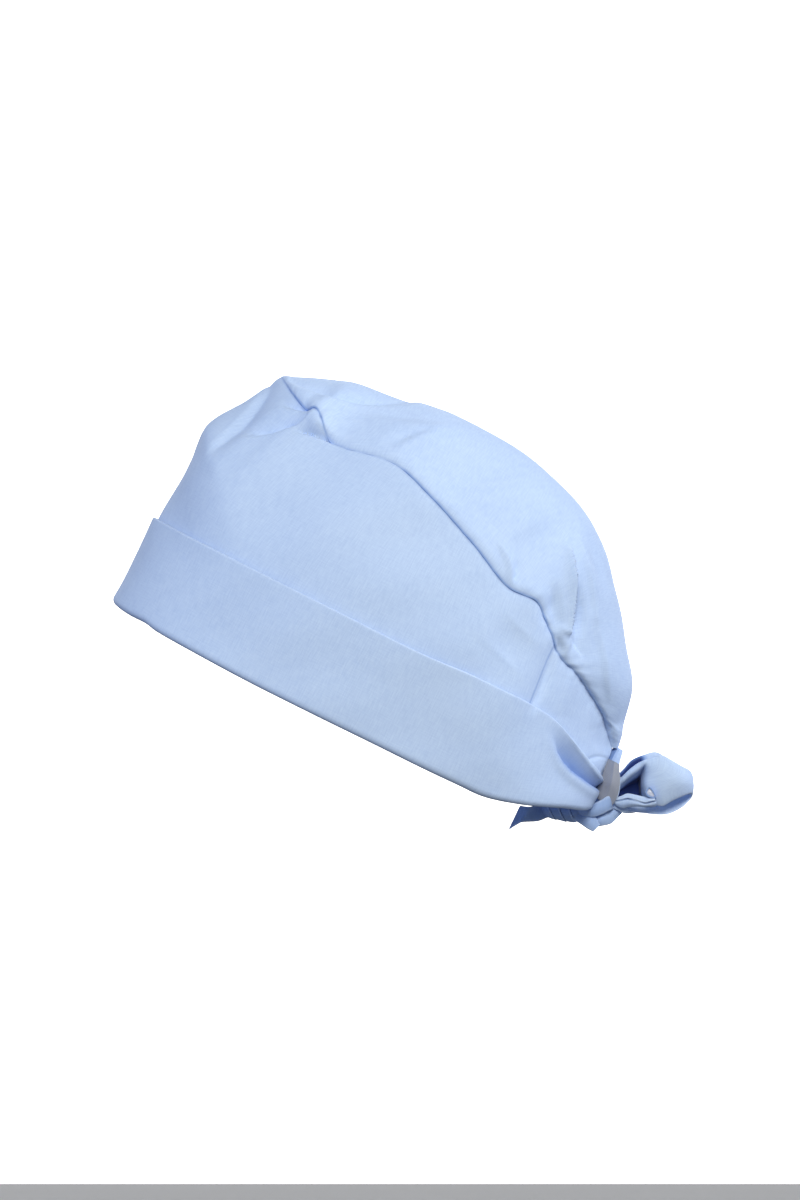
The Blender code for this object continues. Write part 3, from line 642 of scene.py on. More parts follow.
def add_object(name, data):
    """Adds an object to the scene, in place of one of the same name."""
    old = bpy.data.objects.get(name)
    if old:
        bpy.data.objects.remove(old, do_unlink=True)
    made = bpy.data.objects.new(name, data)
    bpy.context.scene.collection.objects.link(made)
    return made


def finish_piece(mesh, node, finish):
    """Dresses a piece and tells the frame what it rides on and which node it replaces."""
    merge(mesh)
    mesh.materials.append(finish)
    mesh.set_sharp_from_angle(angle=SHARP_ANGLE)
    piece = add_object(mesh.name, mesh)
    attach(piece, "root")
    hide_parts(node)


# The cap's pieces

def wall_piece(context, name, node, at, gussets_at, grain_from):
    """A stretch of the side wall at the given sections, turned in at its seams.

    Its rows are closer together near the crown's seam. Gussets_at are the ends, 0 and -1, that
    are sewn to a neighbour, where the cloth turns in by its own normal.
    """
    size = context.scene.scrub_cap_sizes
    share = 1 - (1 - np.linspace(0, 1, WALL_ROWS)) ** WALL_CROWD
    rim, seam, _, _ = section(size, at)
    _, up_wall, _, _, inward = seam_frame(size, at)
    away = (1 - share) * np.linalg.norm(seam - rim, axis=-1)[:, None]
    radius = np.minimum(size.seam, 0.3 * np.abs(seam[:, 0]) + 0.0002)
    extra = (WALL_PUFF * puff(size, away, WALL_PUFF_AT) * (share > WALL_PUFF_FROM)
             - WALL_GATHER * gathers(size, at, seam, away) - OVERHANG_WALL * overhang(at, away))
    outer = raised(size, wall, at, share, away, -inward[:, None, :], extra)
    outer = turned_in(outer, up_wall, inward, radius, size.allowance)
    away = np.pad(away, ((0, 0), (0, outer.shape[1] - away.shape[1])))
    first = 0            # the row at which the cloth before its turned ends starts
    for end in gussets_at:
        inside = -face_normals(outer, off_head=True)[end]
        run = unit(outer[end] - outer[-2 if end else 1])
        turned = np.swapaxes(outer if end else outer[::-1], 0, 1)
        turned = np.swapaxes(turned_in(turned, run, inside, size.seam, size.allowance), 0, 1)
        added = len(turned) - len(outer)
        outer = turned if end else turned[::-1]
        away = np.pad(away, ((0, added) if end else (added, 0), (0, 0)), "edge")
        first += 0 if end else added
    inner = outer - face_normals(outer, off_head=True) * size.cloth
    along = arc_lengths(outer, 0)
    grain = band_grain(along[:, [len(share) // 2]] + grain_from, arc_lengths(outer, 1))
    gusset_away = np.full(away.shape, FAR)
    for end in gussets_at:
        gusset_away = np.minimum(gusset_away, np.abs(along - along[[first + end % len(at)]]))
    strong = np.interp(np.linspace(0, 1, len(away)), np.linspace(0, 1, len(at)), groove(at))
    # Painted shade along the crown's seam, stronger where the crown hangs over, and along the seams
    # to the gussets.
    painted_light_and_tone = (-strong[:, None] * bell(away, WALL_SEAM_SHADE_WIDTH)
            - GUSSET_SEAM_SHADE * bell(gusset_away, WALL_SEAM_SHADE_WIDTH))
    cap_piece(context, name, node, outer, inner, grain, np.clip(painted_light_and_tone, -1, 1))


def crown_piece(context):
    """The crown from seam to seam, puffed out beside them like a pillow and turned in."""
    size = context.scene.scrub_cap_sizes
    at = LAST * np.linspace(0, 1, CROWN_STEPS) ** PEAK_CROWD
    half = 1 - (1 - np.linspace(0, 1, CROWN_ROWS)) ** CROWN_CROWD
    across = np.concatenate([-half[::-1], half[1:]])
    run = arc_lengths(crown(size, *np.meshgrid(at, across, indexing="ij")), 1)
    away = np.minimum(run, run[:, -1:] - run)
    halfway = run[:, -1] / 2
    seams = seam_frame(size, at), seam_frame(size, -at)
    bisector = np.where(across[:, None] > 0, *(-side[4][:, None, :] for side in seams))
    puckers = np.where(across > 0, *(gathers(size, at, side[0], away) for side in seams))
    extra = puff(size, away, CROWN_PUFF_AT) + puckers + OVERHANG_CROWN * overhang(at, away)
    extra = extra * np.clip(halfway / CROWN_NARROW, 0, 1)[:, None]
    outer = raised(size, crown, at, across, away, bisector, extra)
    radius = np.minimum(size.seam, 0.2 * halfway)
    depth = np.minimum(size.allowance, 0.5 * halfway)[:, None]
    for _, _, over, _, inward in seams:
        outer = turned_in(outer, -over, inward, radius, depth)[:, ::-1]
    cloth = np.minimum(size.cloth, 0.3 * halfway)[:, None, None]
    inner = outer - face_normals(outer, off_head=True) * cloth
    added = (outer.shape[1] - across.size) // 2
    away = np.pad(away, ((0, 0), (added, added)))
    over = arc_lengths(outer, 1)
    over -= over[:, [over.shape[1] // 2]]
    ridge = section(size, at)[2]
    # Painted shade along both seams, stronger where the crown hangs over the wall.
    cap_piece(context, "crown_cloth", "crown_panel", outer, inner,
              band_grain(arc_lengths(ridge[:, None, :], 0), over),
              -groove(at)[:, None] * bell(away, CROWN_SEAM_SHADE_WIDTH))


def cuff_piece(context):
    """The turned-up band: a lip inside, a rolled lower edge and a thicker, pressed upper edge.

    Its middle line runs up the wall's inside, round half a turn, and up the wall's outside.
    The two faces lie half a thickness either side, and meet in a half circle along the top.
    """
    size = context.scene.scrub_cap_sizes
    at = np.linspace(-LAST, LAST, CUFF_STEPS)
    radius = fold_radius(size)
    rim, seam, _, row = section(size, at)
    rise = seam[:, 2] - rim[:, 2]
    top = (row["cuff_up"] * size.cuff_height - rim[:, 2]) / rise
    lip = np.minimum(size.lip / rise, LIP_LIMIT * top)
    outside = size.standoff + size.cuff_cloth / 2
    far = np.full((len(at), 1), FAR)

    def leg(share, extra):
        zero = np.zeros((len(at), 1, 3))
        return raised(size, wall, at, share[:, None], far, zero, extra)[:, 0]

    lines = [leg(lip * k, outside - 2 * radius) for k in LIP_SHARES]
    for bend in np.radians(FOLD_BENDS):
        foot = leg(0 * top, outside - radius + radius * math.sin(bend))
        foot[:, 2] -= radius * math.cos(bend)
        lines.append(foot)
    lines += [leg(top * k, outside + CUFF_FLARE * k ** 3 - CUFF_HUG * math.sin(math.pi * k))
              for k in np.linspace(0, 1, CUFF_ROWS)]
    middle = np.stack(lines, 1)
    share = np.linspace(0, 1, middle.shape[1])
    half = (size.cuff_cloth + (size.cuff_edge - size.cuff_cloth) * share ** 4) / 2
    normal = face_normals(middle, off_head=True)
    up = unit(middle[:, -1] - middle[:, -2])
    faces = []
    for side in (1, -1):
        edge = [middle[:, -1] + half[-1] * (up * math.sin(turn)
                                            + side * normal[:, -1] * math.cos(turn))
                for turn in np.radians(EDGE_BENDS)]
        face = middle + side * normal * half[:, None]
        faces.append(np.concatenate([face, np.stack(edge, 1)], 1))
    climb = arc_lengths(faces[0], 1)
    girth = arc_lengths(faces[0], 0)[:, [climb.shape[1] // 2]]
    below_top = climb[:, -1:] - climb
    # A painted highlight along the pressed upper edge, and painted shade in the pocket under it.
    painted_light_and_tone = (CUFF_EDGE_HIGHLIGHT * bell(below_top, CUFF_EDGE_HIGHLIGHT_WIDTH)
            - CUFF_POCKET_SHADE * pocket_share(size, faces[0]) * (below_top > CUFF_POCKET_SHADE_FROM))
    cap_piece(context, "cuff_band", "cuff", *faces, band_grain(girth, climb), painted_light_and_tone)


# Keeper seen from the side, bottom to top: up is a share of half its height, from its middle,
# and its front edge, from the nape, and its width are shares of its whole height.
KEEPER_COLUMNS = ("up", "front", "wide")
KEEPER = (
    (-1.0, 0.020, 0.27),
    (-0.5, -0.010, 0.33),
    (0.0, -0.045, 0.30),
    (0.5, -0.078, 0.20),
    (1.0, -0.050, 0.13),
)
KEEPER_FOLD = 0.45     # where its faces are creased, as a share of its width
KEEPER_LEAN = 0.24     # how far its front edge lies in there, as a share of its thickness
KEEPER_OFF = 0.0003    # how far it stays off the nape
KEEPER_STEPS, KEEPER_ROWS = 160, 24
# Its two layers part along its edges: degrees round each one's edge, how far they stand out,
# how far the groove between them does as a share, and the width that this is measured by.
KEEPER_LIP = (15, 40, 65, 90, 115, 140, 165)
KEEPER_BULGE, KEEPER_GROOVE, KEEPER_WIDE = 0.0006, 0.15, 0.2
# Painted shade on its front and, less, on the rest, painted shade in its grooves, and a painted
# highlight along its pressed edges.
KEEPER_FRONT, KEEPER_SHADE_AND_HIGHLIGHT = 0.45, (-1.2, -0.5, -0.8, 0.5)

# The label: how far its middle lies under the keeper's, as a share of half its height, where
# its edges lie across the keeper, how its two faces stand out, and how much it cockles.
LABEL_DROP, LABEL_ACROSS, LABEL_FACES, LABEL_EASE = 0.12, (0.04, 1.08), (0.0008, 0.0003), 0.00015

# Nets of points that a folded tie's middle runs through, each (back, up, side) in mm from the
# keeper's middle for a tie of the usual width: rows along the tie, and in each row from its
# upper edge to its lower one.
TIE_WIDTH_MM = 21.0

# The loop: out of the keeper on the near side, pinched to a pit and opened to a pouch, round,
# and back on the far side.
BOW_NET = (
    ((1.5, 0.4, 1.5), (1.4, -1.5, 2), (1.1, -3.4, 0.5), (0.9, -5.7, -1), (0.7, -8, -1)),
    ((3.8, 0.7, 3), (3.5, -1.3, 3.4), (3.2, -3.6, -0.5), (3, -5.5, -5), (3, -8, -6)),
    ((6.8, 3.7, 4.6), (6.6, 1.4, 5), (6.4, -1.3, -1), (6.2, -3.6, -6.4), (6, -7.6, -7.2)),
    ((9.8, 6.1, 6), (9.8, 3.7, 6.4), (9.7, 1.2, 0), (9.5, -2.3, -6.6), (9.5, -7.8, -7.4)),
    ((12.9, 7.7, 7.2), (12.7, 6, 7.6), (12.3, 3.1, 1), (11.8, -1.5, -5), (11.9, -8, -6.4)),
    ((15.4, 8.5, 8.2), (14.6, 5.6, 9), (13.7, 1.6, 7.4), (13, -2.3, 6.5), (13.3, -7.2, 4.5)),
    ((17.3, 9.1, 8.6), (16.7, 5, 9.8), (16, 0.8, 9.6), (15.6, -3.4, 9.2), (16, -9.5, 7)),
    ((19.6, 9.6, 8.6), (19.6, 4.6, 10.2), (19.6, 0, 10.6), (19.6, -4.6, 10), (19.6, -10.5, 8)),
    ((24, 7.2, 8.4), (24.2, 3.3, 9.8), (24.2, -0.7, 10.2), (24, -4.4, 9.2), (23.4, -8.6, 7.4)),
    ((27.6, 5.1, 6.8), (28, 1.9, 8), (28.2, -1.1, 8.2), (28, -3.8, 7.4), (27.4, -6.9, 6.2)),
    ((30.2, 3.7, 3.6), (31.1, 0.8, 4.4), (31.3, -1.5, 4.6), (31.3, -3.4, 4.2), (30.9, -5.8, 3.4)),
    ((30.8, 2.5, 0.4), (31.6, 0.2, 0.6), (31.8, -1.9, 0.6), (31.9, -4, 0.4), (31.7, -6.7, 0)),
    ((30.3, 1.9, -3), (31.3, -0.7, -3), (31.5, -3.4, -3), (31.5, -5.7, -3.4), (31.1, -8.4, -0.6)),
    ((27.1, 4.2, -5.6), (27.8, 0.4, -5.8), (28.2, -3.4, -5.8), (28.2, -7.6, -5.4),
     (27.8, -11.3, 2.4)),
    ((22.1, 8.1, -7), (22.5, 2.7, -7), (22.8, -2.7, -7), (23, -8.4, -5.4), (22.8, -13.8, 2.4)),
    ((17.9, 10.2, -7.4), (17.9, 4.2, -7.4), (18.3, -1.9, -7.4), (18.3, -8, -5.4),
     (18.3, -14.2, 2.4)),
    ((12.9, 9, -7), (12.9, 3.5, -7), (12.9, -2.3, -7), (12.9, -8, -5.4), (12.9, -13.6, 2.4)),
    ((8.3, 7, -6), (8.3, 1.9, -6), (8.3, -3, -6), (8.3, -7.6, -5.4), (8.3, -13.1, 2.4)),
    ((4.3, 2.9, -4), (4.3, -0.7, -4), (4.3, -4.6, -4), (4.3, -8.4, -3.2), (4.3, -11.8, 0.6)),
    ((1.5, 0.8, -2), (1.5, -1.9, -2), (1.5, -4.6, -2), (1.5, -7.2, -1.8), (1.5, -9.6, -1)),
)

# The short raw end that stands out under the pit: its upper layer.
END_NET = (
    ((1.1, -7.8, 3.6), (1.1, -8.2, 4), (1.1, -8.7, 4.2)),
    ((3.7, -6.7, 5.4), (3.7, -7.4, 5.9), (3.7, -8.1, 6.2)),
    ((6.2, -5.7, 6.4), (6.2, -6.6, 7.1), (6.2, -7.5, 7.5)),
    ((9.5, -6.2, 8), (9.5, -7.2, 8.7), (9.5, -8.3, 9)),
    ((12.9, -6.9, 9.4), (12.8, -8, 10.1), (12.7, -9.1, 10.4)),
    ((15.2, -7.2, 10.6), (15, -7.9, 11.2), (14.8, -8.5, 11.4)),
    ((16.5, -7.2, 11), (16.6, -7.7, 11.5), (16.7, -8.2, 11.8)),
)

# The raw end's lower layer.
END_BACK_NET = (
    ((1.1, -8.6, 3.2), (1, -9.2, 3.4), (1, -9.7, 3)),
    ((3.7, -8.5, 5), (3.7, -10, 5.2), (3.7, -11.4, 4)),
    ((6.4, -8, 6.6), (6.5, -9.5, 6.8), (6.6, -11, 5.4)),
    ((9.5, -8.7, 8), (9.5, -9.6, 8.2), (9.5, -10.6, 7)),
    ((12.9, -9.5, 9.6), (12.9, -10, 9.5), (12.9, -10.6, 8.4)),
    ((16.9, -8.4, 11), (17, -9.5, 10.6), (17, -10.5, 9.4)),
)

# The far side's strand under the keeper.
FAR_NET = (
    ((0.1, -9.5, 1), (0.2, -10.5, 1.4), (0.4, -11.4, 1)),
    ((2.6, -10.5, 1.6), (2.7, -11.4, 2), (2.8, -12.5, 1.6)),
    ((4.7, -11.5, 1.6), (4.9, -12.5, 1.8), (4.9, -13.5, 1.2)),
    ((6.8, -11.8, 1), (6.9, -12.7, 1.2), (6.9, -13.6, 0.6)),
    ((9.2, -12.1, 0), (9.2, -12.7, 0), (9.3, -13.3, -0.6)),
)

# The forward tie end, folded over on its way to its tip.
TAIL_NET = (
    ((-20.6, -10.9, -2), (-21.1, -12.7, -1), (-21.6, -14.5, 0)),
    ((-25.1, -10.5, 0), (-25.3, -13.1, 1), (-25.7, -15.6, 1.5)),
    ((-29.1, -10.5, 0.5), (-29.1, -13.5, 2), (-29.2, -16.8, 2.5)),
    ((-32.2, -10.9, 4), (-33.7, -13.9, 4.4), (-35.3, -17.1, 4.4)),
    ((-34.1, -10.9, 2.6), (-35.7, -14.4, 2.8), (-37.5, -18.2, 2.8)),
    ((-35.9, -10.7, 0.6), (-38.1, -15.5, 0.6), (-40.4, -20.2, 0.6)),
)

# The knot's hanging corner.
DROP_NET = (
    ((-15.1, -12.7, 3), (-15.4, -14.3, 4), (-15.6, -15.8, 4)),
    ((-10.6, -13.5, 3.4), (-11.5, -15.7, 5), (-12.5, -17.7, 4.6)),
    ((-6.8, -14.7, 3.6), (-8.5, -17.1, 5.2), (-9.9, -19.5, 4.8)),
    ((-4.9, -17.9, 3.4), (-6.3, -19.4, 4.4), (-7.7, -20.7, 4.2)),
)

# The strand that comes out of the knot towards the back.
LOBE_NET = (
    ((5.9, -11.7, -3), (5.1, -12.3, -2.6), (4.1, -13.2, -3)),
    ((2.5, -11.5, -0.6), (2.1, -13.7, 0.4), (1.6, -16, -0.4)),
    ((-1.3, -11.7, 1.2), (-0.8, -14.9, 2.6), (-0.3, -17.8, 1.6)),
    ((-4.5, -13.1, 2.2), (-3.8, -15.9, 3.6), (-3.1, -18.5, 2.6)),
    ((-7.1, -15.1, 1.6), (-6.3, -17.1, 2.8), (-5.5, -18.9, 2)),
)

# The strand from the keeper's lower tip round the front of the knot.
BAND_NET = (
    ((0.2, -7.9, 0.6), (0.6, -10.1, 0.6), (0.8, -11.9, 0.4)),
    ((-0.8, -6.5, 4.4), (-0.6, -9.7, 4.6), (-0.5, -12.3, 4.2)),
    ((-2.2, -6.9, 5.4), (-1.9, -10.1, 5.8), (-1.7, -12.7, 5.2)),
    ((-4.5, -8.3, 5.6), (-4.1, -11.3, 6.3), (-3.7, -13.8, 5.4)),
    ((-8.1, -9.8, 5.6), (-7.7, -12.5, 6.3), (-7.3, -14.9, 5.2)),
    ((-11.5, -10.5, 5), (-11.2, -12.5, 5.6), (-10.9, -14.5, 4.6)),
    ((-15.5, -10.7, 3), (-15.1, -12.3, 3.6), (-14.7, -13.6, 3)),
)

# The knot's roll: how far in front of the keeper's middle it starts and how far it goes, as
# shares of its length, its middle as a share of its height, how many wraps it has, and how far
# their edges lean.
KNOT_FROM, KNOT_REACH, KNOT_UP, KNOT_WRAPS, KNOT_SLANT = 0.42, 0.56, -1.56, 4.0, 0.16
# How thin it is under the next wrap's edge, how soon a wrap is full and how much it then loses,
# how much the roll narrows towards its front, and how far it rises.
KNOT_LOW, KNOT_FULL, KNOT_LOSES, KNOT_NARROWS, KNOT_RISE = 0.86, 0.12, 0.55, 0.38, 0.15
# Painted shade from a wrap's edge, where the next wrap overlaps it, to a share of it, and over the
# rest.
KNOT_SHADE = ((0.06, -1.2), (0.25, -0.4), (1.0, -0.9))

# The pit in the loop gets the darkest painted shade. The rows of the loop's net up to BOW_NEAR_ROWS
# lead past it, painted darker the further they lie in from PIT_SIDE. Those from BOW_FAR_ROWS on
# come back behind it, painted dark over PIT_UP and in front of PIT_BACK. The spans are how slowly
# the painted shade comes on.
BOW_STEPS, BOW_COLUMNS, BOW_NEAR_ROWS, BOW_FAR_ROWS = 320, 80, 5.5, 14.5
PIT_SIDE, PIT_UP, PIT_BACK = 0.0015, -0.0095, 0.0150
PIT_SIDE_SPAN, PIT_UP_SPAN, PIT_BACK_SPAN, PIT_SHADE = 0.0045, 0.0010, 0.0030, 2

# The raw end's folded corner seen end on: outline, (back, up) in mm.
CORNER = ((13.2, -5.3), (14.6, -3.4), (16.5, -5.3), (17.0, -7.6), (14.3, -7.2))
CORNER_SIDE_MM = (9.6, 12.0)
CORNER_SLANT = np.array([-0.15, 0.25])   # how far it runs back and up for each step sideways
CORNER_STEPS, CORNER_COLUMNS, CORE_COLUMNS = 80, 8, 14


def keeper_surface(size, ties, turn, across, grow):
    """The keeper's band: turn goes round the flattened ring, across from front to back."""
    up = np.sin(turn)
    side = np.cos(turn) * np.abs(np.cos(turn)) ** 0.10 * (ties.keeper_thickness / 2 + grow)
    table = columns(KEEPER_COLUMNS, KEEPER)
    row = along_rows(table, np.interp(up, table["up"], np.arange(len(KEEPER))))
    fold = np.clip((KEEPER_FOLD - across) / KEEPER_FOLD, -0.35, 1) * np.abs(np.cos(turn)) ** 0.5
    side = side - np.sign(side) * fold * ties.keeper_thickness * KEEPER_LEAN
    front = nape(size) + KEEPER_OFF + row["front"] * ties.keeper_height
    return np.stack([
        side,
        front + across * row["wide"] * ties.keeper_height,
        ties.keeper_up + up * (ties.keeper_height / 2 + grow),
    ], -1)


def keeper_piece(context):
    """A short tube of doubled cloth round the ties, whose two layers part along its edges.

    Its outer face ends at the front and the back in two small half circles that meet in a
    groove. Depth is how far under that face a point lies.
    """
    size, ties = context.scene.scrub_cap_sizes, context.scene.scrub_cap_ties
    turn = np.linspace(0, 2 * math.pi, KEEPER_STEPS, endpoint=False)
    face = np.linspace(0, 1, KEEPER_ROWS)
    lip = np.radians(KEEPER_LIP)
    out = np.concatenate([np.sin(lip), [KEEPER_GROOVE], np.sin(lip)]) * KEEPER_BULGE
    out = out / (KEEPER_WIDE * ties.keeper_height)
    drop = (1 - np.cos(lip)) * size.cloth / 4
    depth = np.concatenate([drop, [size.cloth / 2], size.cloth / 2 + drop])
    across = np.concatenate([-out[::-1], face, 1 + out])
    depth = np.concatenate([depth[::-1], 0 * face, depth])
    outer = keeper_surface(size, ties, *np.meshgrid(turn, across, indexing="ij"), -depth)
    inner = keeper_surface(size, ties, *np.meshgrid(turn, np.clip(across, 0, 1), indexing="ij"),
                           -size.cloth - 0.0001)
    front, rest, dark, pressed = KEEPER_SHADE_AND_HIGHLIGHT
    # Painted shade, darkest on the front and in the grooves between its layers, and a painted
    # highlight along its edges.
    painted_light_and_tone = np.where(np.linspace(0, 1, len(across)) < KEEPER_FRONT, front, rest)
    n = len(out)
    painted_light_and_tone[[n // 2, -n // 2 - 1]] = dark
    painted_light_and_tone[[1, 2, n - 3, n - 2, -2, -3, -n + 2, -n + 1]] = pressed
    cap_piece(context, "keeper_tube", "keeper", outer, inner, arc_grain(outer),
              np.broadcast_to(painted_light_and_tone, outer.shape[:2]), ring=True)


def label_piece(context):
    """A plain woven patch bent over the keeper's left face, a little proud of it."""
    size, ties = context.scene.scrub_cap_sizes, context.scene.scrub_cap_ties
    share = ties.label_height / ties.keeper_height
    turn = np.linspace(-math.asin(share + LABEL_DROP), math.asin(share - LABEL_DROP), 90)
    start, stop = LABEL_ACROSS
    place = np.meshgrid(turn, np.linspace(start, stop, 40), indexing="ij")
    ease = (LABEL_EASE * np.cos(9 * place[0] + 2 * place[1])
            * np.sin(math.pi * (place[1] - start) / (stop - start)))
    outer, inner = (world_from_cap(size, keeper_surface(size, ties, *place, proud + ease))
                    for proud in LABEL_FACES)
    ends = np.minimum(turn - turn[0], turn[-1] - turn) / (turn[1] - turn[0])
    # Darker towards its top and bottom ends.
    painted_light_and_tone = np.broadcast_to(bell(ends, 3)[:, None], outer.shape[:2])
    cloth_piece("label_patch", "label", outer, inner, arc_grain(outer), painted_light_and_tone,
                woven_label(context))


def ties_middle(context):
    """The keeper's middle, from which the ties hang, in the world's axes."""
    size, ties = context.scene.scrub_cap_sizes, context.scene.scrub_cap_ties
    back = nape(size) + 0.15 * ties.keeper_height
    return world_from_cap(size, np.array([0.0, back, ties.keeper_up]))


def net_points(net, ties, along, across):
    """A grid of points through a net, by cubics through its rows and then through its columns."""
    net = np.array(net, float)
    rows, cols = net.shape[:2]
    table = dict(enumerate(net.reshape(rows, -1).T))
    lines = np.stack(list(along_rows(table, np.linspace(0, rows - 1, along)).values()))
    table = dict(enumerate(lines.reshape(cols, 3, along).transpose(1, 2, 0).reshape(-1, cols)))
    grid = np.stack(list(along_rows(table, np.linspace(0, cols - 1, across)).values()))
    back, up, side = grid.reshape(3, along, across) * ties.tie_width / TIE_WIDTH_MM
    return np.stack([side, back, up], -1)


def tie_piece(context, name, node, points, thickness, shade=0.0):
    """A flat tie of two faces that close in rounded folds along both edges.

    Shade is painted shade on its face, 0 or less, as a grid or a number. Along both folded edges it
    gets a painted highlight.
    """
    across = np.linspace(-1, 1, points.shape[1])
    half = face_normals(points) * thickness / 2 * (1 - across ** 12)[:, None]
    grain = arc_grain(points)
    run = grain[..., 1]
    painted_light_and_tone = TIE_EDGE_HIGHLIGHT * bell(np.minimum(run, run[:, -1:] - run), TIE_EDGE_HIGHLIGHT_WIDTH) + shade
    points = points + ties_middle(context)
    cotton_piece(context, name, node, points + half, points - half, grain, painted_light_and_tone)


def bow_piece(context):
    """The loop, out of the keeper on the near side, round, and back on the far side."""
    ties = context.scene.scrub_cap_ties
    points = net_points(BOW_NET, ties, BOW_STEPS, BOW_COLUMNS)
    side, back, up = np.moveaxis(points, -1, 0)
    row = np.linspace(0, len(BOW_NET) - 1, BOW_STEPS)[:, None]
    # Painted shade in the pit: on the near rows the further in they lie, and on the far rows behind
    # it.
    near = np.clip((PIT_SIDE - side) / PIT_SIDE_SPAN, 0, 1) * (row < BOW_NEAR_ROWS)
    behind = (np.clip((up - PIT_UP) / PIT_UP_SPAN, 0, 1)
              * np.clip((PIT_BACK - back) / PIT_BACK_SPAN, 0, 1) * (row > BOW_FAR_ROWS))
    tie_piece(context, "bow_pouch", "bow_loop", points, ties.tie_cloth,
              -PIT_SHADE * (near + behind))
    # Painted shade over the whole far strand.
    tie_piece(context, "bow_strand", "bow_loop", net_points(FAR_NET, ties, 60, 24),
              ties.tie_cloth, -0.4)


def end_pieces(context):
    """The short raw end's two layers with its cut corner, and the pointed forward end."""
    ties = context.scene.scrub_cap_ties
    # Shade is painted shade: a little on the raw end's lower layer, most on the pointed end.
    for name, node, net, along, across, shade in (
            ("raw_tie_end", "tie_end_back", END_NET, 90, 24, 0.0),
            ("raw_end_back", "tie_end_back", END_BACK_NET, 90, 24, -0.3),
            ("pointed_tie_end", "tie_end_front", TAIL_NET, 110, 40, -0.9)):
        tie_piece(context, name, node, net_points(net, ties, along, across),
                  0.7 * ties.tie_cloth, shade)
    corner_pieces(context)


def corner_pieces(context):
    """The raw end's corner: a tube of cloth seen end on, with the cut threads inside it."""
    ties = context.scene.scrub_cap_ties
    scale = ties.tie_width / TIE_WIDTH_MM
    count = len(CORNER)
    turn = np.linspace(0, count, CORNER_STEPS, endpoint=False)
    outline = along_rows(columns(("back", "up"), CORNER * 3), turn + count)
    outline = np.stack([outline["back"], outline["up"]], -1)
    middle = np.mean(CORNER, 0)
    ray = unit(outline - middle)
    side = np.linspace(*CORNER_SIDE_MM, CORNER_COLUMNS)
    wall_mm = 0.45 * ties.tie_cloth / scale

    def tube(inset):
        flat = (outline - ray * inset)[:, None, :]
        lean = (side - side[0])[:, None] * CORNER_SLANT + flat
        return np.concatenate([np.broadcast_to(side[:, None], (*lean.shape[:2], 1)), lean],
                              -1) * scale + ties_middle(context)

    outer = tube(0.0)
    # The tube is painted shade all round.
    cotton_piece(context, "raw_corner", "tie_end_back", outer, tube(wall_mm), arc_grain(outer),
                 np.full(outer.shape[:2], -1.0), ring=True)
    shrink = np.linspace(1, 0, CORE_COLUMNS)[:, None]
    rough = 0.10 * np.sin(turn * 11)[:, None, None] * np.sin(shrink * 9)
    core = outline - ray * wall_mm * 0.9 - middle
    face = np.concatenate([
        side[-1] - 0.9 + 0.5 * (1 - shrink ** 2) + rough,
        middle + core[:, None, :] * shrink + CORNER_SLANT * (side[-1] - side[0])], -1)
    front, rear = (points * scale + ties_middle(context)
                   for points in (face, face - np.array([0.5, 0, 0])))
    cloth_piece("raw_core", "tie_end_back", front, rear, arc_grain(front), 0 * front[..., 0],
                cut_threads(context), ring=True)


def knot_piece(context):
    """The knot: a short roll in overlapping slanted wraps, its hanging corner and two strands.

    Each wrap's radius rises at its edge and then falls slowly to the next one's.
    """
    ties = context.scene.scrub_cap_ties
    along, turn = np.meshgrid(np.linspace(0, 1, 220), np.linspace(0, 2 * math.pi, 97),
                              indexing="ij")
    body = np.sqrt(np.clip(1 - np.abs(2 * along - 1) ** 5, 0, None))
    place = KNOT_WRAPS * (along - KNOT_SLANT * np.sin(turn) + 0.03 * np.sin(2 * turn))
    share = place - np.floor(place)
    step = np.clip(share / KNOT_FULL, 0, 1)
    step = step * step * (3 - 2 * step) * (1 - KNOT_LOSES * share)
    radius = body * (KNOT_LOW + (1 - KNOT_LOW) * step) * (1 - KNOT_NARROWS * along ** 1.5)
    points = np.stack([
        ties.knot_width / 2 * radius * np.cos(turn),
        -(KNOT_FROM + along * KNOT_REACH) * ties.knot_length,
        ties.knot_height * (KNOT_UP + KNOT_RISE * along + radius * np.sin(turn) / 2),
    ], -1) + ties_middle(context)
    mesh = bpy.data.meshes.new("knot_roll")
    mesh.from_pydata(points.reshape(-1, 3), [], grid_quads(*along.shape))
    # Painted shade: darkest at each wrap's edge, lighter over the next share, and dark over the
    # rest.
    painted_light_and_tone = np.select([share < upto for upto, _ in KNOT_SHADE], [light_and_tone_node for _, light_and_tone_node in KNOT_SHADE])
    store(mesh, np.stack([along * ties.knot_length, turn * ties.knot_height / 2], -1), painted_light_and_tone)
    finish_piece(mesh, "knot", cotton_twill(context))
    # Painted shade over the whole of the hanging corner and both strands.
    for name, net, shade in (("knot_corner", DROP_NET, -0.7), ("knot_lobe", LOBE_NET, -0.6),
                             ("knot_strand", BAND_NET, -0.8)):
        tie_piece(context, name, "knot", net_points(net, ties, 100, 32), ties.tie_cloth, shade)


# Materials

MIX_UNDER, MIX_OVER, MIX_RESULT = 6, 7, 2   # the colour sockets of a mix node
YARN, YARN_TURN, YARN_STRETCH = 0.0005, math.radians(8), 0.1
CLOUDS, COCKLES, SLUBS = 34.0, 90.0, 700.0   # to the metre
FLUFF, TOOTH = 0.0004, 0.025
RIB, BAND = 0.0006, 0.31416                  # a wave node's band is BAND over its scale
PANEL_GLOW = 1.05

def add_node(tree, kind, settings, links=()):
    """Adds a node: settings fill its own settings or sockets, links join (socket, node, output)."""
    made = tree.nodes.new(kind)
    for name, value in settings.items():
        if isinstance(name, str) and hasattr(made, name):
            setattr(made, name, value)
        else:
            made.inputs[name].default_value = value
    for socket, source, output in links:
        tree.links.new(source.outputs[output], made.inputs[socket])
    return made


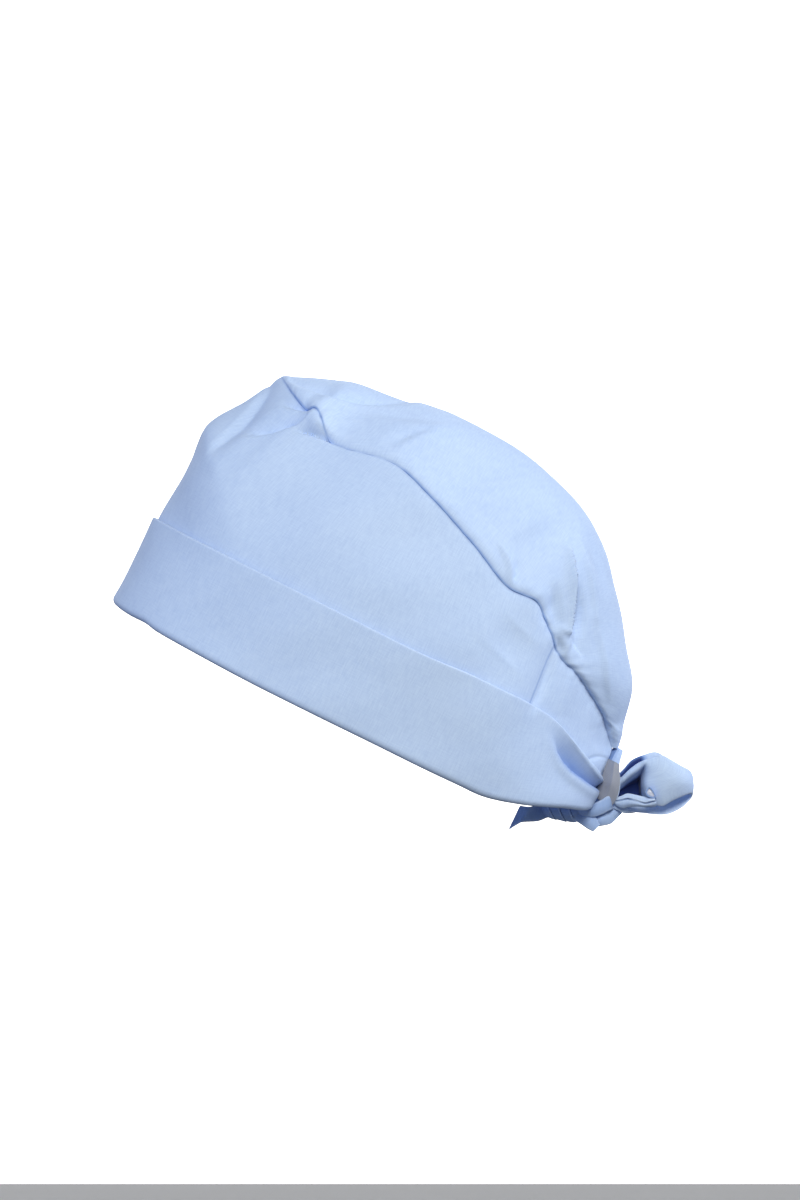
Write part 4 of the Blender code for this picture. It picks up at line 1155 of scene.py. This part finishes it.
def empty_material(name, settings):
    """A material whose shader has these settings, with its tree and its shader."""
    made = bpy.data.materials.new(name)
    made.use_nodes = True
    shader = made.node_tree.nodes["Principled BSDF"]
    for socket, value in settings.items():
        shader.inputs[socket].default_value = value
    return made, made.node_tree, shader


def noise(tree, source, output, scale, detail):
    return add_node(tree, "ShaderNodeTexNoise", {"Scale": scale, "Detail": detail},
                    [("Vector", source, output)])


def remap(tree, source, output, low, high, to_low, to_high):
    return add_node(tree, "ShaderNodeMapRange", {
        "From Min": low, "From Max": high, "To Min": to_low, "To Max": to_high},
        [("Value", source, output)])


def sum_of(tree, slubs, share, ribs):
    """A share of the slubs added to the ribs."""
    return add_node(tree, "ShaderNodeMath", {"operation": "MULTIPLY_ADD", 1: share},
                    [(0, slubs, "Fac"), (2, ribs, "Fac")])


def light_and_tone_share(tree, light_and_tone_node, times, plus=0.0):
    """The mark of painted light and tone times a number, plus another, kept between 0 and 1."""
    return add_node(tree, "ShaderNodeMath", {
        "operation": "MULTIPLY_ADD", 1: times, 2: plus, "use_clamp": True}, [(0, light_and_tone_node, "Fac")])


def mix(tree, share, output, under, over):
    """A colour over another one by a share. Under is a colour or a node that gives one."""
    settings, links = {"data_type": "RGBA", MIX_OVER: (*over, 1)}, [(0, share, output)]
    if isinstance(under, bpy.types.Node):
        links.append((MIX_UNDER, under, MIX_RESULT))
    else:
        settings[MIX_UNDER] = (*under, 1)
    return add_node(tree, "ShaderNodeMix", settings, links)


def bump(tree, shader, height, output, strength, distance, under=None):
    """A bump for the shader, over another bump if there is one."""
    made = add_node(tree, "ShaderNodeBump", {"Strength": strength, "Distance": distance},
                    [("Height", height, output)] + [("Normal", under, "Normal")] * bool(under))
    tree.links.new(made.outputs["Normal"], shader.inputs["Normal"])
    return made


def cotton_twill(context):
    """Piece-dyed cotton blend twill, pressed: matt, with fine slanting ribs and a soft bloom."""
    made = bpy.data.materials.get("pressed_cotton_twill")
    if made:
        return made
    tint = context.scene.scrub_cap_colours
    made, tree, shader = empty_material("pressed_cotton_twill", {
        "Roughness": 0.85, "Specular IOR Level": 0.25, "Sheen Weight": 0.15,
        "Sheen Roughness": 0.45, "Sheen Tint": (0.88, 0.94, 1.0, 1.0)})
    grain = add_node(tree, "ShaderNodeUVMap", {"uv_map": "grain"})
    light_and_tone_node = add_node(tree, "ShaderNodeAttribute", {"attribute_name": "painted_light_and_tone"})
    # Yarns show as faint streaks, a YARN wide and ten times as long, one way and across it.
    ribs, slubs = (
        noise(tree, add_node(tree, "ShaderNodeMapping", {
            "Rotation": (0, 0, YARN_TURN), "Scale": stretch}, [("Vector", grain, "UV")]),
            "Vector", 1 / YARN, 1.0)
        for stretch in ((1.0, YARN_STRETCH, 1.0), (YARN_STRETCH, 1.0, 1.0)))
    fine = sum_of(tree, slubs, 0.6, ribs)
    shade = remap(tree, fine, "Value", 0.5, 1.1, 0.26, 0.0)
    mottle = remap(tree, noise(tree, grain, "UV", CLOUDS, 3.0), "Fac", 0.3, 0.7, -0.04, 0.04)
    deep = add_node(tree, "ShaderNodeMath", {"operation": "ADD", "use_clamp": True},
                    [(0, shade, "Result"), (1, mottle, "Result")])
    body = mix(tree, deep, "Value", tint.cotton, tint.cotton_shade)
    # Painted light from the mark: below 0 painted shade in the deep blue, below -1 the deeper
    # painted shade of the pit, above 0 a painted highlight.
    for times, plus, over in ((-0.75, 0.0, tint.cotton_shade), (-1.0, -1.0, tint.cotton_pit_shade),
                              (0.6, 0.0, tint.pale_cotton_and_highlight)):
        body = mix(tree, light_and_tone_share(tree, light_and_tone_node, times, plus), "Value", body, over)
    tree.links.new(body.outputs[MIX_RESULT], shader.inputs["Base Color"])
    weave = bump(tree, shader, fine, "Value", 0.25, 0.0001)
    bump(tree, shader, noise(tree, grain, "UV", COCKLES, 2.0), "Fac", 0.22, 0.0005, weave)
    return made


def cut_threads(context):
    """The cut threads of a raw edge: pale and fluffy."""
    tint = context.scene.scrub_cap_colours
    made, tree, shader = empty_material("cut_cotton_threads", {"Roughness": 0.9})
    grain = add_node(tree, "ShaderNodeUVMap", {"uv_map": "grain"})
    fluff = noise(tree, grain, "UV", 1 / FLUFF, 3.0)
    body = mix(tree, fluff, "Fac", tint.pale_cotton_and_highlight, tint.core)
    tree.links.new(body.outputs[MIX_RESULT], shader.inputs["Base Color"])
    bump(tree, shader, fluff, "Fac", 0.5, 0.0002)
    return made


def woven_label(context):
    """Polyester satin label, woven narrow: smoother than the cloth, with fine even ribs."""
    tint = context.scene.scrub_cap_colours
    made, tree, shader = empty_material("woven_satin_label", {
        "Roughness": 0.5, "Specular IOR Level": 0.4, "Sheen Weight": 0.1})
    grain = add_node(tree, "ShaderNodeUVMap", {"uv_map": "grain"})
    light_and_tone_node = add_node(tree, "ShaderNodeAttribute", {"attribute_name": "painted_light_and_tone"})
    ribs = add_node(tree, "ShaderNodeTexWave", {
        "wave_type": "BANDS", "bands_direction": "X", "Scale": BAND / RIB, "Distortion": 0.4},
        [("Vector", grain, "UV")])
    fine = sum_of(tree, noise(tree, grain, "UV", SLUBS, 2.0), 0.7, ribs)
    shade = remap(tree, fine, "Value", 0.2, 1.4, 0.5, 0.0)
    body = mix(tree, shade, "Result", tint.label, tint.label_deep)
    # Darker towards the label's top and bottom ends.
    body = mix(tree, light_and_tone_share(tree, light_and_tone_node, 0.5), "Value", body, tint.label_deep)
    tree.links.new(body.outputs[MIX_RESULT], shader.inputs["Base Color"])
    bump(tree, shader, fine, "Value", 0.35, 0.0001)
    return made


def stage_paper(context):
    """Seamless matt background paper, with a faint tooth."""
    paper = context.scene.scrub_cap_colours.paper
    made, tree, shader = empty_material("background_paper", {
        "Base Color": (*paper, 1), "Roughness": 0.9})
    place = add_node(tree, "ShaderNodeTexCoord", {})
    bump(tree, shader, noise(tree, place, "Object", 1 / TOOTH, 4.0), "Fac", 0.05, 0.0005)
    return made


def lit_panel(context):
    """White acrylic sheet lit from behind."""
    panel = (*context.scene.scrub_cap_colours.panel, 1)
    return empty_material("lit_acrylic", {
        "Base Color": panel, "Emission Color": panel, "Emission Strength": PANEL_GLOW,
        "Roughness": 0.4})[0]


# Stage

CAMERA_AT = Vector((1.6, 0.0216, 0.0478))
LENS_MM = 121.5
SENSOR_MM = 36.0
FLOOR, ROOM, BEND = -0.5, 4.0, 0.4   # the sweep's height, its radius and the bend at its rim
SWEEP_TURNS, SWEEP_FLAT, SWEEP_BEND = 96, 12, 40
PANEL_AT = -2.2                      # the lit panel behind the cap, in x
PANEL_WIDE, PANEL_HIGH = 2.4, 2.8
# Soft lights from far off: where each stands, its strength, how wide it is in degrees and its
# colour
LIGHTS = (
    ("key", (0.84, 0.06, 0.51), 2.80, 22, "#fff9ea"),
    ("front", (0.35, -0.90, 0.32), 0.66, 50, "#8cb4ff"),
    ("rear", (-0.12, 1.00, 0.32), 2.10, 45, "#f0f4ff"),
)
SKY, SKY_COLOUR = 0.24, (0.95, 0.97, 1.0, 1.0)


def stage_piece(name, points, faces, finish):
    mesh = bpy.data.meshes.new(name)
    mesh.from_pydata(points, [], faces)
    merge(mesh, closed=False)
    mesh.materials.append(finish)
    add_object(name, mesh)


def make_stage(context):
    """A sweep of grey paper, a lit white panel, three soft lights, a pale sky and the camera.

    The sweep is a turned profile: flat out to its bend, and then a quarter circle.
    """
    bend = np.linspace(0, math.pi / 2, SWEEP_BEND)[1:]
    flat = np.linspace(0.0, ROOM - BEND, SWEEP_FLAT)
    reach = np.concatenate([flat, ROOM - BEND + BEND * np.sin(bend)])
    height = np.concatenate([0 * flat, BEND - BEND * np.cos(bend)]) + FLOOR
    turn = np.linspace(0, 2 * math.pi, SWEEP_TURNS, endpoint=False)[:, None]
    points = np.stack([np.cos(turn) * reach, np.sin(turn) * reach, 0 * turn + height], -1)
    stage_piece("paper_sweep", points.reshape(-1, 3),
                grid_quads(SWEEP_TURNS, len(height), ring=True), stage_paper(context))
    corners = [(PANEL_AT, side * PANEL_WIDE / 2, up * PANEL_HIGH / 2)
               for side, up in ((-1, -1), (1, -1), (1, 1), (-1, 1))]
    stage_piece("lit_panel", corners, [(0, 1, 2, 3)], lit_panel(context))
    for name, place, strength, wide, tint in LIGHTS:
        light = bpy.data.lights.new(name, "SUN")
        light.energy, light.angle, light.color = strength, math.radians(wide), linear(tint)
        lamp = add_object(name, light)
        lamp.location = place
        lamp.rotation_euler = (-Vector(place)).to_track_quat("-Z", "Y").to_euler()
    world = bpy.data.worlds.new("pale_sky")
    world.use_nodes = True
    sky = world.node_tree.nodes["Background"]
    sky.inputs["Color"].default_value = SKY_COLOUR
    sky.inputs["Strength"].default_value = SKY
    context.scene.world = world
    lens = bpy.data.cameras.new("camera")
    lens.lens, lens.sensor_width, lens.sensor_fit = LENS_MM, SENSOR_MM, "AUTO"
    camera = add_object("camera", lens)
    camera.location = CAMERA_AT
    camera.rotation_mode = "QUATERNION"
    camera.rotation_quaternion = Vector((-1.0, 0.0, 0.0)).to_track_quat("-Z", "Y")
    context.scene.camera = camera
    context.scene.view_settings.view_transform = "Standard"


# Operators, panel and registration

class SCRUBCAP_OT_side_wall(bpy.types.Operator):
    """Makes the side panel and the two gussets"""
    bl_idname = "scrub_cap.side_wall"
    bl_label = "Side Wall and Gussets"

    def execute(self, context):
        for name, node, start, stop, steps, gussets_at, grain_from in (
                ("side_cloth", "side_panel", -GUSSET_FROM, GUSSET_FROM, WALL_STEPS, (0, -1), 0.0),
                ("gusset_cloth_left", "gusset_left", GUSSET_FROM, LAST, GUSSET_STEPS, (0,), 0.4),
                ("gusset_cloth_right", "gusset_right", -LAST, -GUSSET_FROM, GUSSET_STEPS,
                 (-1,), -0.4)):
            wall_piece(context, name, node, np.linspace(start, stop, steps), gussets_at,
                       grain_from)
        return {"FINISHED"}


class SCRUBCAP_OT_crown(bpy.types.Operator):
    """Makes the gathered crown"""
    bl_idname = "scrub_cap.crown"
    bl_label = "Crown"

    def execute(self, context):
        crown_piece(context)
        return {"FINISHED"}


class SCRUBCAP_OT_cuff(bpy.types.Operator):
    """Makes the turned-up cuff"""
    bl_idname = "scrub_cap.cuff"
    bl_label = "Cuff"

    def execute(self, context):
        cuff_piece(context)
        return {"FINISHED"}


class SCRUBCAP_OT_keeper(bpy.types.Operator):
    """Makes the keeper and the woven label on it"""
    bl_idname = "scrub_cap.keeper"
    bl_label = "Keeper and Label"

    def execute(self, context):
        keeper_piece(context)
        label_piece(context)
        return {"FINISHED"}


class SCRUBCAP_OT_bow(bpy.types.Operator):
    """Makes the bow's loop, the knot and the two tie ends"""
    bl_idname = "scrub_cap.bow"
    bl_label = "Bow and Ties"

    def execute(self, context):
        bow_piece(context)
        knot_piece(context)
        end_pieces(context)
        return {"FINISHED"}


class SCRUBCAP_OT_stage(bpy.types.Operator):
    """Makes the paper sweep, the lit panel, the lights, the sky and the camera"""
    bl_idname = "scrub_cap.stage"
    bl_label = "Stage"

    def execute(self, context):
        make_stage(context)
        return {"FINISHED"}


OPERATORS = (SCRUBCAP_OT_side_wall, SCRUBCAP_OT_crown, SCRUBCAP_OT_cuff, SCRUBCAP_OT_keeper,
             SCRUBCAP_OT_bow, SCRUBCAP_OT_stage)


class SCRUBCAP_PT_panel(bpy.types.Panel):
    """Sizes, colours and pieces of the scrub cap"""
    bl_idname = "SCRUBCAP_PT_panel"
    bl_label = "Scrub Cap"
    bl_space_type = "VIEW_3D"
    bl_region_type = "UI"
    bl_category = "Scrub Cap"

    def draw(self, context):
        for group in GROUPS:
            box = self.layout.box()
            values = getattr(context.scene, group)
            for name in values.bl_rna.properties.keys():
                if name not in ("rna_type", "name"):
                    box.prop(values, name)
        for operator in OPERATORS:
            self.layout.operator(operator.bl_idname)


GROUPS = {"scrub_cap_sizes": CapSizes, "scrub_cap_ties": TieSizes,
          "scrub_cap_colours": ClothColours}
CLASSES = (*GROUPS.values(), *OPERATORS, SCRUBCAP_PT_panel)


def register():
    for kind in CLASSES:
        bpy.utils.register_class(kind)
    for name, kind in GROUPS.items():
        setattr(bpy.types.Scene, name, PointerProperty(type=kind))


def unregister():
    for name in GROUPS:
        delattr(bpy.types.Scene, name)
    for kind in reversed(CLASSES):
        bpy.utils.unregister_class(kind)


def main():
    register()
    bpy.ops.scrub_cap.side_wall()
    bpy.ops.scrub_cap.crown()
    bpy.ops.scrub_cap.cuff()
    bpy.ops.scrub_cap.keeper()
    bpy.ops.scrub_cap.bow()
    bpy.ops.scrub_cap.stage()


if __name__ == "__main__":
    main()
